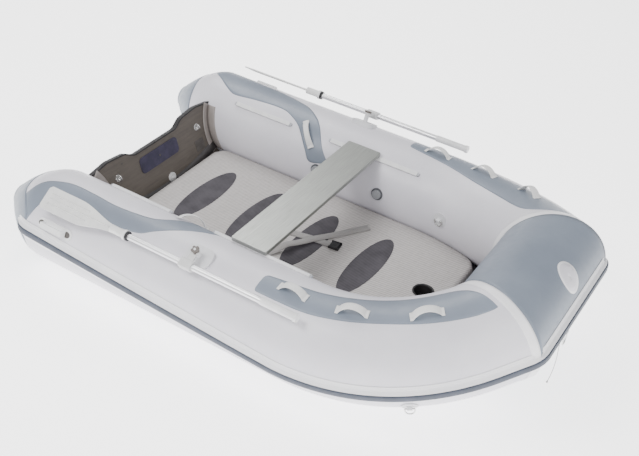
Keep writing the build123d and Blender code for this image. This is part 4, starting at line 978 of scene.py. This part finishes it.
def collar_ring(word):
    """Black rubber ring against the white collar."""
    lo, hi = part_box(word + "_oar_collar")
    centre = (Vector(lo) + Vector(hi)) / 2
    rows = []
    for x, r in ((0, 0.0132), (0, 0.019), (0.001, 0.0205), (0.009, 0.0205), (0.010, 0.019), (0.010, 0.0132)):
        rows.append([Vector((hi[0] + 0.0003 + x, centre.y + r * c, centre.z + r * s)) for c,
                     s in oval(1, 1, 40)])
    rows_piece(word + "_collar_ring", rows, BLACK_NYLON, word + "_oar", closed=True)


LINE_POINTS = [(1.19503, -0.03, 0.277712), (1.190242, -0.03, 0.264556), (1.189242, -0.033, 0.238556),
               (1.192242, -0.039, 0.192556), (1.197242, -0.044, 0.136556), (1.195242, -0.042, 0.081556),
               (1.191242, -0.041, 0.036556), (1.187242, -0.045, 0.010556)]


def bow_line():
    """Thin limp line that hangs from the bow fitting to the ground."""
    curve = bpy.data.curves.new("bow_line_braid", "CURVE")
    curve.dimensions = "3D"
    spline = curve.splines.new("NURBS")
    spline.points.add(len(LINE_POINTS) - 1)
    for point, place in zip(spline.points, LINE_POINTS):
        point.co = (*place, 1.0)
    spline.order_u = 3
    spline.use_endpoint_u = True
    curve.resolution_u = 12
    curve.bevel_depth = 1.5 * MM
    curve.bevel_resolution = 4
    line = bpy.data.objects.new("bow_line_braid", curve)
    bpy.context.scene.collection.objects.link(line)
    line.data.materials.append(LINE_BRAID)
    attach(line, "hull")
    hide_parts("bow_line")


# ---------------------------------------------------------------- finishes on the CAD pieces
FINISHES = {
    "chamber_baffles": PALE_PVC, "transom_board": PLYWOOD, "inner_motor_pad": NAVY_PAD,
    "outer_motor_pad": NAVY_PAD,
    "transom_eyes": STEEL, "drain_socket": CLEAR_GREY, "drain_plug": CLEAR_GREY, "blank_plate": DARK_PLATE,
    "seat_rails": WHITE_PLASTIC, "seat_plank": SEAT_METAL, "aft_handles": WHITE_PLASTIC,
    "valve_bodies": VALVE_GREY, "port_aft_valve_cap": CAP_GREY, "port_fore_valve_cap": CAP_GREY,
    # The keel valve cap takes the dark lock nylon: painted shade at the bottom of the deck's hole.
    "starboard_valve_cap": CAP_GREY, "keel_valve_cap": LOCK_DARK, "floor_valve_cap": CLEAR_GREY,
    "buckle_frame": BLACK_NYLON, "buckle_cam": BLACK_NYLON, "ring_patches": PALE_RUBBER, "inner_ring": STEEL,
    "port_tow_ring": STEEL, "starboard_tow_ring": STEEL, "bow_tow_ring": STEEL, "bow_line_knot": LINE_BRAID,
}
for word in SIDES:
    FINISHES.update({f"{word}_oar_shaft": OAR_METAL, f"{word}_oar_blade": BLADE_PLASTIC,
                     f"{word}_oar_grip": WHITE_PLASTIC, f"{word}_oar_collar": WHITE_PLASTIC,
                     f"{word}_oar_clamp": CLEAR_GREY, f"{word}_oarlock": PALE_RUBBER,
                     f"{word}_oarlock_knob": LOCK_DARK})
SOFT_EDGES = {"transom_board": 2.0, "inner_motor_pad": 1.2, "outer_motor_pad": 1.2, "seat_plank": 1.2,
              "seat_rails": 1.0, "aft_handles": 1.5, "blank_plate": 0.6}


def finish_cad_pieces():
    for name, material in FINISHES.items():
        node = NODES[name]
        node.data.materials.clear()
        node.data.materials.append(material)
        width = SOFT_EDGES.get(name, 0.5)
        soften(node, width * MM)


# ---------------------------------------------------------------- studio
def studio():
    ground = bpy.data.meshes.new("studio_floor")
    reach = 14.0
    ground.from_pydata([(-reach, -reach, 0), (reach, -reach, 0), (reach, reach, 0), (-reach, reach, 0)], [],
                       [(0, 1, 2, 3)])
    floor = bpy.data.objects.new("studio_floor", ground)
    bpy.context.scene.collection.objects.link(floor)
    material, _, shader = start("matt_white_floor_paint", Roughness=0.9)
    shader.inputs["Base Color"].default_value = paint("#FAFAFA")
    shader.inputs["Emission Color"].default_value = (1, 1, 1, 1)
    shader.inputs["Emission Strength"].default_value = 2.4
    floor.data.materials.append(material)
    floor.location.z = -0.3 * MM
    world = bpy.data.worlds.new("studio")
    bpy.context.scene.world = world
    world.use_nodes = True
    world.node_tree.nodes["Background"].inputs["Color"].default_value = (0.98, 0.985, 1.0, 1)
    world.node_tree.nodes["Background"].inputs["Strength"].default_value = 0.75
    for name, place, size, power in (("key", (-1.4, -2.4, 3.8), 1.6, 120),
                                     ("fill", (3.2, -2.0, 2.6), 2.5, 80),
                                     ("back", (-2.4, 2.0, 3.6), 1.6, 80)):
        lamp = bpy.data.lights.new(name + "_softbox", "AREA")
        lamp.size = size
        lamp.energy = power
        light = bpy.data.objects.new(name + "_softbox", lamp)
        bpy.context.scene.collection.objects.link(light)
        light.location = place
        light.rotation_euler = (-Vector(place)).to_track_quat("-Z", "Y").to_euler()


def camera():
    yaw, pitch, roll = math.radians(119.738), math.radians(-37.048), math.radians(4.580)
    ahead = Vector((math.cos(pitch) * math.cos(yaw), math.cos(pitch) * math.sin(yaw), math.sin(pitch)))
    right = ahead.cross(Vector((0, 0, 1))).normalized()
    up = right.cross(ahead)
    right, up = right * math.cos(roll) + up * math.sin(roll), up * math.cos(roll) - right * math.sin(roll)
    lens = bpy.data.cameras.new("camera")
    lens.lens = 55.0
    eye = bpy.data.objects.new("camera", lens)
    bpy.context.scene.collection.objects.link(eye)
    eye.matrix_world = Matrix((right, up, -ahead)).transposed().to_4x4()
    eye.location = (1.758, -3.034, 2.875)
    bpy.context.scene.camera = eye


for word, side in SIDES.items():
    side_tube(word, side)
    seam_tapes(word, side)
    coloured_panels(word, side)
    aft_handle_shadows(word, side)
    rail_stops(word, side)
    blade_ribs(word, side)
    collar_ring(word)
    flange = board_flanges(word, side)
    if side == PORT:
        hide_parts("transom_flanges")
bow_air_tube()
rub_strake()
air_deck()
keel_well_shade_lining()
deck_pads()
hull_bottom()
edge_trim()
board_foot_trim()
board_details()
bow_and_inner_handles()
floor_strap()
bow_emblem()
bow_line()
finish_cad_pieces()
studio()
camera()
